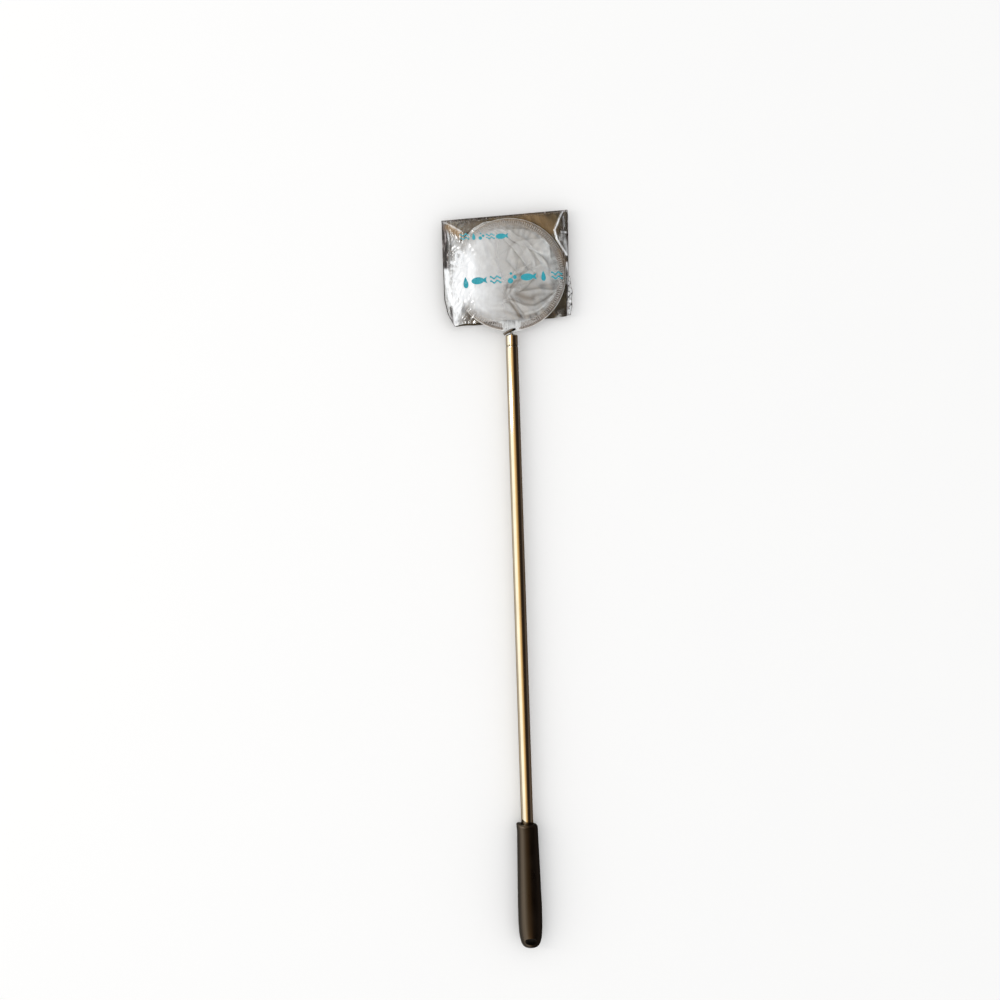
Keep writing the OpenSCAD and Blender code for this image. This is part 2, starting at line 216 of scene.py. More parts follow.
panels = ramp(sky, share, [
    (place(-88), (0.05, 0.04, 0.035)), (place(-60), (0.012, 0.009, 0.007)),
    (place(-22), (0.03, 0.018, 0.011)), (place(-6), (0.40, 0.25, 0.11)),
    (place(14), (0.66, 0.44, 0.20)), (place(30), (0.95, 0.82, 0.55)),
    (place(38), (1.0, 0.97, 0.86)), (place(84), (1.0, 0.97, 0.86)),
    (place(89), (0.62, 0.58, 0.50)),
])
lift = add(sky, "ShaderNodeBackground", {"Color": (1, 1, 1, 1), "Strength": 0.93})
studio = add(sky, "ShaderNodeBackground", {"Color": panels, "Strength": 1.35})
glossy = add(sky, "ShaderNodeLightPath").outputs["Is Glossy Ray"]
seen = mix_shaders(sky, glossy, lift.outputs[0], studio.outputs[0])
add(sky, "ShaderNodeOutputWorld", {"Surface": seen})

# %% [markdown]
# A long strip lamp on the left gives the tubes crisp glints. Crumpled film is all glints too, and
# they need something small and bright to reflect: a window to the upper left. Only glossy rays
# see the window, so it adds no light to the rest, and the tubes, which mirror only what lies
# square to them, don't see it either.

# %% Lamps
def area_lamp(name, size, watts, colour, where, target):
    """A rectangular lamp that stands in one place and looks at another, in metres."""
    data = bpy.data.lights.new(name, "AREA")
    data.shape, data.energy, data.color = "RECTANGLE", watts, colour
    data.size, data.size_y = size
    lamp = add_object(name, data)
    lamp.location = where
    lamp.rotation_euler = (Vector(target) - lamp.location).to_track_quat("-Z", "Y").to_euler()
    print(name, watts, "W")
    return lamp


area_lamp("strip_lamp", size=(0.09, 1.1), watts=1.5, colour=(1.0, 0.97, 0.92),
          where=(-0.95, 0.35, 0.8), target=(0, 0.35, 0))
window = area_lamp("window", size=(0.34, 0.30), watts=4.6, colour=(1, 1, 1),
                   where=(-0.62, 0.74, 0.92), target=(0, HOOP_Y * MM, 0))
window.visible_diffuse = window.visible_camera = window.visible_transmission = False

# %% [markdown]
# The floor is white paper. To glossy rays it shows a painted reflection instead: light on the
# net's left and dark on its right, like the studio above it.

# %% Floor
FLOOR_Z, FLOOR_HALF = cad_box[0][2], 3
floor_mesh = bpy.data.meshes.new("floor")
corners = ((-1, -1), (1, -1), (1, 1), (-1, 1))
floor_mesh.from_pydata([(x * FLOOR_HALF, y * FLOOR_HALF, FLOOR_Z) for x, y in corners], [], [(0, 1, 2, 3)])
floor = add_object("floor", floor_mesh)
floor_material, tree, coords = new_material("floor_paper")
paper = shader(tree, "Diffuse", {
    "Color": blend_colours(tree, grain(tree, coords, 60), (0.985, 0.985, 0.985), (0.995, 0.995, 0.99)),
})
side = remap(tree, add(tree, "ShaderNodeSeparateXYZ", {0: coords}).outputs[0], -0.012, 0.012)
# Painted reflection: what glossy rays see of the floor, light on the left and dark on the right
dim = shader(tree, "Diffuse", {
    "Color": blend_colours(tree, side, (0.62, 0.57, 0.49), (0.13, 0.10, 0.08)),
})
show(tree, mix_shaders(tree, add(tree, "ShaderNodeLightPath").outputs["Is Glossy Ray"], paper, dim))
floor_mesh.materials.append(floor_material)
print("floor at", round(FLOOR_Z / MM, 1), "mm")


# %% [markdown]
# ## Turned pieces
# The tubes and the grip are round, so each is one outline turned about the handle. The outline
# is a list of (radius, place along the handle) in millimetres.

# %% Lathe
def new_piece(name, verts, faces, material, body, replaces=()):
    """A smooth mesh object from points in millimetres, riding on a body of the frame."""
    mesh = bpy.data.meshes.new(name)
    mesh.from_pydata((np.asarray(verts, dtype=float) * MM).tolist(), [], faces)
    mesh.update()
    piece = add_object(name, mesh)
    mesh.materials.append(material)
    mesh.shade_smooth()
    join_frame(piece, body, replaces)
    return piece


def join_frame(piece, body, replaces=()):
    """Rides a piece on a body, and in place of the CAD nodes it replaces."""
    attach(piece, body)
    if replaces:
        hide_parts(*replaces)
    print(f"{piece.name}: {len(piece.data.polygons)} faces, rides on {body}")


def grid_faces(rows, cols, wrap_rows=False, wrap_cols=True):
    """Four-sided faces of a grid of points, row by row, joined round where it wraps."""
    faces = []
    for j in range(rows if wrap_rows else rows - 1):
        for i in range(cols if wrap_cols else cols - 1):
            a, b = j * cols + i, j * cols + (i + 1) % cols
            c, d = ((j + 1) % rows) * cols + (i + 1) % cols, ((j + 1) % rows) * cols + i
            faces.append((a, b, c, d))
    return faces


def turned(outline, sides):
    """Points of an outline turned about the handle, where +Y runs along it."""
    outline = np.asarray(outline, dtype=float)
    turn = np.linspace(0, 2 * math.pi, sides, endpoint=False)
    radius, along = outline[:, :1], outline[:, 1:]
    return np.stack([
        radius * np.cos(turn), np.broadcast_to(along, (len(outline), sides)), radius * np.sin(turn),
    ], axis=-1).reshape(-1, 3)


DOUBLE, SLIVER = 0.002 * MM, 0.0005 * MM


@contextmanager
def editing(piece):
    """Opens a piece's mesh to Blender's mesh tools, and then writes it back."""
    work = bmesh.new()
    work.from_mesh(piece.data)
    yield work
    work.to_mesh(piece.data)
    work.free()


def face_outwards(piece):
    """Merges doubles and turns every face of a closed piece outwards."""
    with editing(piece) as work:
        bmesh.ops.remove_doubles(work, verts=work.verts, dist=DOUBLE)
        bmesh.ops.recalc_face_normals(work, faces=work.faces)


def arc(centre, radius, start, end, steps):
    """Outline points of an arc, in degrees from the outward direction."""
    return [
        (centre[0] + radius * math.cos(math.radians(a)), centre[1] + radius * math.sin(math.radians(a)))
        for a in np.linspace(start, end, steps + 1)
    ]


# %% [markdown]
# ### Polished steel
# The tubes are drawn and polished, so their finish has fine lines along the tube, a few longer
# scratches from sliding, and smudges that dull the shine in places. The edge tint darkens steel
# that is seen edge on, and turns it brown on the tubes: a painted reflection of dark surroundings.

# %% Steel
def drawn_steel(name, colour, edge, rough, along=(1, 0.02, 1)):
    """Steel with lines drawn out along the handle, and painted shade, darker and duller, where a piece is
    marked.
    """
    material, tree, coords = new_material(name)
    lines = grain(tree, coords, 0.25, 2.0, along)
    scratches = ramp(tree, grain(tree, coords, 0.5, 1.0, (1, 0.008, 1)), [(0.66, 0.0), (0.7, 1.0)])
    smudge = grain(tree, coords, 14, 4.0)
    dull = plus(tree, remap(tree, smudge, 0.35, 0.7, rough * 0.7, rough * 1.9),
                times(tree, scratches, 0.12))
    tone = blend_colours(tree, remap(tree, smudge, 0.3, 0.75), colour, tuple(c * 0.88 for c in colour))
    # Painted shade: darker, duller steel where the attribute marks the crimp
    crimp_shade = add(tree, "ShaderNodeAttribute", attribute_name="crimp_shade").outputs["Fac"]
    tone = blend_colours(tree, times(tree, crimp_shade, 0.9), tone, (0.05, 0.036, 0.022))
    dull = plus(tree, dull, times(tree, crimp_shade, 0.2))
    relief = plus(tree, lines, times(tree, scratches, -0.6))
    show(tree, shader(tree, "Principled", {
        "Base Color": tone, "Metallic": 1.0, "Roughness": dull,
        "Specular Tint": (*edge, 1), "Normal": bump(tree, relief, 0.004, 0.5),
    }))
    return material


# The tube steel's warm tint and brown edge tint are painted reflection of warm and dark surroundings
tube_steel = drawn_steel("tube_steel", (0.84, 0.78, 0.66), (0.40, 0.29, 0.20), 0.085)
wire_steel = drawn_steel("wire_steel", (0.26, 0.26, 0.27), (0.12, 0.12, 0.12), 0.2)
socket_steel = drawn_steel("socket_steel", (0.5, 0.49, 0.48), (0.3, 0.3, 0.3), 0.25, (0.1, 1, 0.1))

# %% [markdown]
# ### Tubes
# Each tube's mouth is rolled in over the next one, and below it a shallow groove with a ring of
# punched dimples holds the guide bush. The dimples are pressed into the mesh itself, so the rows
# stand close there.

# %% Tubes
TUBE_SIDES, DIMPLES = 180, 6
# The punch as a share of the tube's radius, the groove's depth as a share of the dimples', and
# its half width in millimetres
PUNCH_SHARE, GROOVE_SHARE, GROOVE_HALF = 0.5, 0.55, 0.55


def crimp_rows(y, tube_r, depth):
    """Outline points of the groove, close together as far as a dimple reaches."""
    punch_r = tube_r * PUNCH_SHARE
    reach = math.sqrt(punch_r ** 2 - (punch_r - depth) ** 2) + 0.4
    return [(tube_r - GROOVE_SHARE * depth * math.exp(-((v - y) / GROOVE_HALF) ** 2), v)
            for v in np.linspace(y - reach, y + reach, 23)]


def press_dimples(points, ring_y, tube_r, depth):
    """Moves the points under each round-nosed punch in. Its size follows the tube's."""
    punch_r = tube_r * PUNCH_SHARE
    for k in range(DIMPLES):
        turn = k * 2 * math.pi / DIMPLES
        punch = np.array([math.cos(turn), 0, math.sin(turn)]) * (tube_r - depth + punch_r)
        punch[1] = ring_y
        away = points - punch
        away_r = np.linalg.norm(away, axis=1)
        near = (away_r < punch_r) & (np.hypot(points[:, 0], points[:, 2]) > tube_r * 0.94)
        points[near] = punch + away[near] * (punch_r / away_r[near])[:, None]
    return points


def steel_tube(name, body, tube_r, wall, foot_y, mouth_y, dimple_y, roll_r=None, bead_y=None):
    """One tube, from its foot to its mouth, which is rolled in where roll_r is given."""
    outline = [(tube_r - wall, foot_y), (tube_r - 0.05, foot_y), (tube_r, foot_y + 0.05)]
    if bead_y:
        outline += arc((tube_r, bead_y), 0.35, -90, 90, 10)
    depth = wall - 0.04
    outline += crimp_rows(dimple_y, tube_r, depth)
    if roll_r:
        hub = (tube_r - roll_r, mouth_y - roll_r)
        outline += arc(hub, roll_r, 0, 90, 12) + arc(hub, roll_r - wall, 90, 0, 8)
    else:
        outline += [(tube_r, mouth_y - 0.15), (tube_r - 0.15, mouth_y), (tube_r - wall, mouth_y)]
    points = press_dimples(turned(outline, TUBE_SIDES), dimple_y, tube_r, depth)
    faces = grid_faces(len(outline), TUBE_SIDES, wrap_rows=True)
    tube = new_piece(name, points, faces, tube_steel, body, [name.replace("_skin", "")])
    face_outwards(tube)
    # Painted shade darkens the groove and the dimples, deepest where they are pressed in
    crimp_shade = tube.data.attributes.new("crimp_shade", "FLOAT", "POINT")
    for vert, mark in zip(tube.data.vertices, crimp_shade.data):
        x, y, z = vert.co / MM
        radius = math.hypot(x, z)
        in_ring = abs(y - dimple_y) < tube_r * PUNCH_SHARE and radius > tube_r - wall * 0.98
        mark.value = min(1.0, 1.15 * (tube_r - radius) / depth) if in_ring else 0.0


steel_tube("outer_tube_skin", "handle", tube_r=4.0, wall=0.35, foot_y=6.9, mouth_y=401.1,
           dimple_y=393.7, roll_r=0.9)
steel_tube("middle_tube_skin", "middle_section", tube_r=3.0, wall=0.3, foot_y=14.4, mouth_y=400.1,
           dimple_y=392.7, roll_r=0.8, bead_y=29.05)
steel_tube("inner_tube_skin", "net_head", tube_r=2.1, wall=0.3, foot_y=21.9, mouth_y=401.6,
           dimple_y=394.2, bead_y=36.55)

# %% [markdown]
# ### Grip
# The grip is a dipped foam rubber sleeve with a squarish domed end and an oval hang slot right
# through it. It is turned like the tubes, and then the slot is cut with a Boolean, whose sharp
# rim a Bevel rounds. Foam rubber has a soft, finely pitted skin.

# %% Grip rubber
grip_rubber, tree, coords = new_material("grip_rubber")
pits = add(tree, "ShaderNodeTexVoronoi", {
    "Vector": add(tree, "ShaderNodeMapping", {"Vector": coords, "Scale": (2400,) * 3}).outputs[0],
    "Scale": 1.0,
}).outputs["Distance"]
skin = grain(tree, coords, 0.8, 5.0)
worn = grain(tree, coords, 11, 4.0)
relief = plus(tree, times(tree, pits, 0.5), skin)
tone = blend_colours(tree, remap(tree, worn, 0.4, 0.75),
                     (0.0016, 0.0013, 0.0012), (0.0038, 0.0029, 0.0023))
tone = blend_colours(tree, remap(tree, pits, 0.0, 0.3, 0.5, 0.0), tone, (0.0012, 0.001, 0.001))
# The shine's strength follows the angle the rubber is seen at, strongest a little off face-on and
# weakest edge on: a painted highlight band with dark edges
facing = add(tree, "ShaderNodeLayerWeight", {"Blend": 0.5}).outputs["Facing"]
shine_by_view = ramp(tree, facing, [
    (0.0, 0.22), (0.05, 0.40), (0.14, 0.82), (0.30, 0.66), (0.55, 0.13), (0.9, 0.05),
])
show(tree, shader(tree, "Principled", {
    "Base Color": tone, "Roughness": remap(tree, worn, 0.3, 0.7, 0.26, 0.36),
    "IOR": 1.6, "Specular IOR Level": shine_by_view, "Specular Tint": (1.0, 0.80, 0.64, 1),
    "Normal": bump(tree, relief, 0.06, 0.6),
}))

# %% Grip
GRIP_TIP, GRIP_BELLY, GRIP_TOP, GRIP_R, GRIP_SIDES = -5.25, 22.5, 76.5, 8, 96
BORE_R, BORE_END, RIM_R, TAPER, TAPER_ROWS = 4.02, 5.4, 2.4, 1.056, 24
outline = [(GRIP_R * math.sin(a) ** 0.5, GRIP_BELLY - (GRIP_BELLY - GRIP_TIP) * math.cos(a) ** 0.5)
           for a in np.linspace(0, math.pi / 2, 40)]
for share in np.arange(1, TAPER_ROWS) / TAPER_ROWS:
    outline.append((GRIP_R - TAPER * share, GRIP_BELLY + (GRIP_TOP - RIM_R - GRIP_BELLY) * share))
outline += arc((4.5, GRIP_TOP - RIM_R), RIM_R, 0, 90, 10)
outline += [(4.25, GRIP_TOP), (BORE_R, GRIP_TOP - 0.25), (BORE_R, 40), (BORE_R, BORE_END), (0, BORE_END)]
points = turned(outline, GRIP_SIDES)
# The foam's top edge has lifted a little on one side
lifted = np.exp(-((points[:, 1] - GRIP_TOP + 1) / 2.2) ** 2) * np.clip(-points[:, 0] / 7, 0, 1) ** 2
outside = np.hypot(points[:, 0], points[:, 2]) > 4.4
points[outside, 0] -= 0.6 * lifted[outside]
points[outside, 1] += 2.2 * lifted[outside]
grip = new_piece("grip_sleeve", points, grid_faces(len(outline), GRIP_SIDES), grip_rubber,
                 "handle", ["grip"])
face_outwards(grip)

SLOT_X, SLOT_Y, SLOT_SQUARE, SLOT_SIDES = 4.2, 2.4, 0.86, 36
turn = np.linspace(0, 2 * math.pi, SLOT_SIDES, endpoint=False)
slot_outline = [(SLOT_X * math.copysign(abs(math.cos(a)) ** SLOT_SQUARE, math.cos(a)),
                 SLOT_Y * math.copysign(abs(math.sin(a)) ** SLOT_SQUARE, math.sin(a))) for a in turn]
cutter_mesh = bpy.data.meshes.new("slot_cutter")
# A moulded slot has draft: it is a little tighter underneath
cutter_mesh.from_pydata(
    [(x * draft * MM, y * draft * MM, z * MM)
     for z, draft in ((-12, 0.62), (12, 1.04)) for x, y in slot_outline], [],
    grid_faces(2, SLOT_SIDES) + [tuple(range(SLOT_SIDES))[::-1], tuple(range(SLOT_SIDES, 2 * SLOT_SIDES))])
cutter = add_object("slot_cutter", cutter_mesh)


# %% Apply modifiers
def settle(piece):
    """Turns a piece's modifiers into plain mesh, as the export and the pose tools expect."""
    bpy.context.view_layer.update()
    result = bpy.data.meshes.new_from_object(
        piece.evaluated_get(bpy.context.evaluated_depsgraph_get()))
    piece.modifiers.clear()
    piece.data = result


cut = grip.modifiers.new("slot", "BOOLEAN")
cut.object, cut.operation, cut.solver = cutter, "DIFFERENCE", "EXACT"
rounding = grip.modifiers.new("slot_rim", "BEVEL")
rounding.width, rounding.segments, rounding.limit_method = 0.55 * MM, 4, "ANGLE"
rounding.angle_limit = math.radians(48)
settle(grip)
bpy.data.objects.remove(cutter)
# The slivers that the cut leaves along the slot are taken out
with editing(grip) as work:
    bmesh.ops.dissolve_degenerate(work, dist=SLIVER, edges=work.edges)
grip.data.shade_smooth()
print("grip with its slot:", len(grip.data.polygons), "faces")


# %% [markdown]
# ## Hoop wire
# One spring wire makes the tang, the bend at the neck, the ring, and a short tail that crosses
# over the tang. Its route is worked out as in the CAD source, and a round wire is swept along it.

# %% Wire
RING_R, WIRE_R, OPENING = 36.25, 0.9, math.radians(7.13)
TANG_Y, BEND_Y, BEND_R, BEND_TURN = 390.6, 402.065, 3, math.radians(4.383)
TAIL_RISE = 1.85


def sweep(route, radius, sides):
    """A round tube along a route of points, closed at both ends."""
    route = np.asarray(route, dtype=float)
    ahead = np.gradient(route, axis=0)
    ahead /= np.linalg.norm(ahead, axis=1)[:, None]
    out = np.cross(ahead, (0, 0, 1.0))
    out /= np.linalg.norm(out, axis=1)[:, None]
    up = np.cross(out, ahead)
    turn = np.linspace(0, 2 * math.pi, sides, endpoint=False)[:, None]
    points = np.concatenate([p + radius * (np.cos(turn) * o + np.sin(turn) * u)
                             for p, o, u in zip(route, out, up)])
    last = len(route) - 1
    ends = [tuple(range(sides))[::-1], tuple(last * sides + k for k in range(sides))]
    return points, grid_faces(len(route), sides) + ends


def ring_point(radius, turn, z=0.0):
    """A place on a circle round the hoop's middle."""
    return (radius * math.cos(turn), HOOP_Y + radius * math.sin(turn), z)


route = [(0, y, 0) for y in np.linspace(TANG_Y, BEND_Y, 6)]
route += [(-BEND_R + BEND_R * math.cos(a), BEND_Y + BEND_R * math.sin(a), 0)
          for a in np.linspace(0, math.pi / 2 - BEND_TURN, 14)[1:]]
start, end = -math.pi / 2 - BEND_TURN, -2.5 * math.pi + OPENING
route += [ring_point(RING_R, a) for a in np.linspace(start, end, 200)[1:]]
tail_from = np.array([RING_R * math.sin(OPENING), HOOP_Y - RING_R * math.cos(OPENING)])
tail_off = np.array([5.2, 3.6])
tail_to = np.array([0, HOOP_Y - RING_R]) - tail_off
reach = np.linalg.norm(tail_to - tail_from) / 3
tail_aim = tail_off / np.linalg.norm(tail_off)
# The tail is a curve with four holds, and it rises over the tang
holds = [tail_from, tail_from - reach * np.array([math.cos(OPENING), math.sin(OPENING)]),
         tail_to + reach * tail_aim, tail_to]
for u in np.linspace(0, 1, 24)[1:]:
    weights = ((1 - u) ** 3, 3 * (1 - u) ** 2 * u, 3 * (1 - u) * u * u, u ** 3)
    x, y = sum(w * h for w, h in zip(weights, holds))
    rise = min(1, 2.2 * u)
    route.append((x, y, TAIL_RISE * rise * rise * (3 - 2 * rise)))
points, faces = sweep(route, WIRE_R, 16)
wire = new_piece("hoop_wire_skin", points, faces, wire_steel, "net_head", ["hoop_wire"])
face_outwards(wire)


# %% [markdown]
# ## Netting
# The net is knitted from fine white nylon. At this size the holes are smaller than a pixel of
# the photograph, so each thread is drawn by the piece's UV map, which is in millimetres, and
# the gaps between the threads are left clear.

# %% Netting material
def stripes(tree, value, pitch, width):
    """1 on a thread and 0 between threads, for threads that stand pitch millimetres apart."""
    phase = math_node(tree, "PINGPONG", value, pitch / 2)
    return remap(tree, phase, width / 2, width / 2 - 0.06)


def netting(name, pitch, width, colour, hem=False):
    """Threads of one netting. On the hem a pale line runs along the top of the fold: a thicker thread,
    with the fold's highlight painted into it. The bag reads its marks: red for painted shade in
    hollows, green for gathered cloth painted white, partly as painted highlight, and blue for laps
    that lie underneath, with closer threads and painted greyer, as painted shade."""
    material, tree, coords = new_material(name)
    uv = add(tree, "ShaderNodeSeparateXYZ", {0: add(tree, "ShaderNodeUVMap").outputs["UV"]})
    across, down = uv.outputs[0], uv.outputs[1]
    wobble = times(tree, grain(tree, coords, 5), 0.5)
    across, down = plus(tree, across, wobble), plus(tree, down, wobble)
    if hem:
        threads = math_node(tree, "MAXIMUM", stripes(tree, across, pitch, width),
                            stripes(tree, down, pitch * 0.8, width * 0.55))
        # A pale line along the top of the fold: a thicker thread, with the fold's highlight painted into it
        off_rim = math_node(tree, "ABSOLUTE", math_node(tree, "SUBTRACT", uv.outputs[1], HEM_RIM_RUN))
        rim = remap(tree, off_rim, 0.30, 0.22)
        threads = math_node(tree, "MAXIMUM", threads, rim)
        tone = blend_colours(tree, rim, colour, (0.99, 0.96, 0.92))
    else:
        threads = math_node(tree, "MAXIMUM", stripes(tree, plus(tree, across, down), pitch, width),
                            stripes(tree, math_node(tree, "SUBTRACT", across, down), pitch, width))
        folds = add(tree, "ShaderNodeSeparateColor", {
            0: add(tree, "ShaderNodeAttribute", attribute_name="fold_light_and_shade").outputs["Color"],
        }).outputs
        weave = remap(tree, threads, 0.0, 1.0, 0.6, 1.0)
        # Red is painted shade, green is gathered cloth painted white with painted highlight, blue is
        # under-laps painted grey
        threads = plus(tree, threads, times(tree, folds[0], -0.35))
        threads = plus(tree, threads, plus(tree, folds[1], folds[2]), clamp=True)
        tone = blend_colours(tree, folds[1], colour, (0.99, 0.99, 0.99))
        tone = blend_colours(tree, folds[2], tone, (0.74, 0.74, 0.74))
        tone = blend_colours(tree, folds[0], tone, (0.13, 0.11, 0.10))
        tone = blend_colours(tree, 1.0, tone, weave, "MULTIPLY")
    patchy = remap(tree, grain(tree, coords, 5, 5.0), 0.36, 0.6, 0.90, 1.0)
    tone = blend_colours(tree, 1.0, tone, patchy, "MULTIPLY")
    cloth = shader(tree, "Principled", {
        "Base Color": tone, "Roughness": 0.42, "Specular IOR Level": 0.5, "Sheen Weight": 0.25,
        "Normal": bump(tree, threads, 0.02, 0.3),
    })
    glow = shader(tree, "Translucent", {"Color": (*colour, 1)})
    show(tree, mix_shaders(tree, threads, shader(tree, "Transparent"), mix_shaders(tree, 0.05, cloth, glow)))
    return material


HEM_RIM_RUN = 5.3
pouch_net = netting("pouch_net", 0.66, 0.43, (0.965, 0.975, 0.975))
hem_net = netting("hem_net", 1.0, 0.42, (0.42, 0.37, 0.34), hem=True)
thread_white, tree, coords = new_material("sewing_thread")
twist = grain(tree, coords, 0.12, 2.0)
show(tree, shader(tree, "Principled", {
    "Base Color": blend_colours(tree, twist, (0.88, 0.86, 0.83), (0.70, 0.68, 0.66)),
    "Roughness": 0.5, "Sheen Weight": 0.2, "Normal": bump(tree, twist, 0.03, 0.6),
}))


def write_uv(piece, uv_points):
    """Gives each corner of a piece the UV of its point, in millimetres."""
    layer = piece.data.uv_layers.new(name="threads")
    corners = np.empty(len(piece.data.loops), dtype=np.int32)
    piece.data.loops.foreach_get("vertex_index", corners)
    layer.data.foreach_set("uv", np.asarray(uv_points, dtype=np.float32)[corners].ravel())


def paint(piece, name, colours):
    """Writes a colour and an alpha on each point of a piece."""
    layer = piece.data.color_attributes.new(name, "FLOAT_COLOR", "POINT")
    layer.data.foreach_set("color", np.asarray(colours, dtype=np.float32).ravel())


# %% [markdown]
# ### Hem
# A strip of the same netting is folded round the wire and stitched along its inner edge. It is
# a swept band that ruffles a little between the stitches, and it stops short at the neck.

# %% Hem
HEM_TUBE_R, HEM_INNER, HEM_HALF, HEM_STEPS = 1.25, 32.5, 0.35, 480
parting = math.asin(HEM_HALF / HEM_TUBE_R)
lip = np.linspace(HEM_INNER, RING_R - HEM_TUBE_R * math.cos(parting), 6)
profile = np.array(
    [(r, HEM_HALF) for r in lip]
    + [(RING_R - HEM_TUBE_R * math.cos(a), HEM_TUBE_R * math.sin(a))
       for a in np.linspace(parting, 2 * math.pi - parting, 22)[1:-1]]
    + [(r, -HEM_HALF) for r in lip[::-1]])
turns = np.linspace(-math.pi / 2 + OPENING, 1.5 * math.pi - OPENING, HEM_STEPS)
run = np.concatenate([[0], np.cumsum(np.hypot(*np.diff(profile, axis=0).T))])
# Only the flat band inside the wire can ruffle
band = np.clip((RING_R - 1.2 - profile[:, 0]) / 2.4, 0, 1)
points, uvs = [], []
for turn in turns:
    ruffle = 0.11 * np.sin(turn * 96) + 0.16 * np.sin(turn * 31 + 1.3) * np.sin(turn * 7)
    radius = profile[:, 0] + band * 0.22 * math.sin(turn * 52 + 0.6)
    z = profile[:, 1] + band * ruffle
    points.append(np.stack([radius * math.cos(turn), HOOP_Y + radius * math.sin(turn), z], axis=-1))
    uvs.append(np.stack([np.full(len(profile), turn * RING_R), run], axis=-1))
faces = grid_faces(HEM_STEPS, len(profile), wrap_cols=False)
hem = new_piece("hem_netting", np.concatenate(points), faces, hem_net, "net_head", ["net_hem"])
write_uv(hem, np.concatenate(uvs))


# %% [markdown]
# ### Pouch
# The bag is cut to hang 66 mm deep. Here it lies folded flat in the sleeve, and folds like that
# are best left to physics. Blender's own cloth was too slow on so fine a bag between two close
# planes, so a small solver does it: points pulled by a sideways weight, kept at their distances
# from each other, and pressed between a floor that comes up and the top film.

# %% The sleeve's own frame
SLEEVE_TURN = math.radians(3.2)
# Its reach up and down from the hoop's middle, the run of its taper, and its half width and height
SLEEVE_UP, SLEEVE_DOWN, SLEEVE_RUN, SLEEVE_HALF, SLEEVE_RISE = 39.6, 31.0, 35.0, 42, 8
# The half width varies along the sleeve, as shares at rows from its mouth to its seal
ROW_SHARES = [0, 0.12, 0.26, 0.42, 0.56, 0.68, 0.79, 0.88, 0.94, 0.975, 1]
LEFT_SHARES = [0.943, 1.03, 1.066, 1.05, 1.04, 1.03, 1.02, 1.01, 1.005, 1, 1]
RIGHT_SHARES = [0.85, 0.87, 0.90, 0.93, 0.95, 0.966, 0.98, 0.992, 1, 1, 1]


def from_sleeve(s, t, z):
    """Points across, along and above the sleeve, as places in the shared frame."""
    c, k = math.cos(SLEEVE_TURN), math.sin(SLEEVE_TURN)
    return np.stack([s * c - t * k, s * k + t * c + HOOP_Y, z], axis=-1)


def to_sleeve(points):
    """The reverse of from_sleeve, without the height."""
    c, k = math.cos(SLEEVE_TURN), math.sin(SLEEVE_TURN)
    x, y = points[..., 0], points[..., 1] - HOOP_Y
    return x * c + y * k, -x * k + y * c


def half_width(s, t):
    """Distance from the sleeve's middle line to its left or right edge."""
    row = np.clip((t + SLEEVE_DOWN) / (SLEEVE_UP + SLEEVE_DOWN), 0, 1)
    return SLEEVE_HALF * np.where(s < 0, np.interp(row, ROW_SHARES, LEFT_SHARES),
                                  np.interp(row, ROW_SHARES, RIGHT_SHARES))


def sleeve_height(s, t):
    """Half the thickness of the sleeve over a place, in millimetres."""
    left = 1 - np.clip(SLEEVE_UP - t, 0, SLEEVE_RUN) / SLEEVE_RUN
    rise = SLEEVE_RISE * np.sqrt(np.clip(1 - left * left, 0, 1))
    side = np.clip(np.abs(s) / half_width(s, t), 0, 1)
    return rise * np.sqrt(np.clip(1 - side ** 2.5, 0, 1))


# %% Strokes
def side_of(s, t, path):
    """Distance of each place to a path, in millimetres: above zero on the path's left."""
    nearest, side = np.full(np.shape(s), 1e9), np.ones(np.shape(s))
    for (s0, t0), (s1, t1) in zip(path[:-1], path[1:]):
        ds, dt = s1 - s0, t1 - t0
        share = np.clip(((s - s0) * ds + (t - t0) * dt) / (ds * ds + dt * dt), 0, 1)
        off_s, off_t = s - s0 - share * ds, t - t0 - share * dt
        far = np.hypot(off_s, off_t)
        side = np.where(far < nearest, np.sign(ds * off_t - dt * off_s), side)
        nearest = np.minimum(nearest, far)
    return nearest * side


def stroke(s, t, path, width, strength):
    """A soft line along a path, strongest in its middle."""
    return strength * np.exp(-(side_of(s, t, path) / width) ** 2)


def ridge(s, t, path, width, height):
    """A sharp crease along a path, like a folded edge."""
    return height * np.clip(1 - np.abs(side_of(s, t, path)) / width, 0, 1) ** 1.3


# %% The bag's cloth
BAG_R, BAG_DEPTH, BAG_FOOT_R, BAG_COLS, BAG_ROWS = 32.9, 66.0, 1.5, 120, 44


def bag_at_rest():
    """Rows of points down the hanging bag, evenly spaced along its side."""
    a = np.linspace(0, math.pi / 2, 400)
    radius, drop = BAG_R * np.cos(a) ** 0.85, BAG_DEPTH * np.sin(a) ** 0.95
    run = np.concatenate([[0], np.cumsum(np.hypot(np.diff(radius), np.diff(drop)))])
    even = np.linspace(0, run[-1] - BAG_FOOT_R, BAG_ROWS)
    radius, drop = np.interp(even, run, radius), np.interp(even, run, drop)
    turn = np.linspace(0, 2 * math.pi, BAG_COLS, endpoint=False) - math.pi / 2
    bag = np.stack([radius[:, None] * np.cos(turn), radius[:, None] * np.sin(turn),
                    np.broadcast_to(-drop[:, None], (BAG_ROWS, BAG_COLS))], axis=-1)
    return bag, even


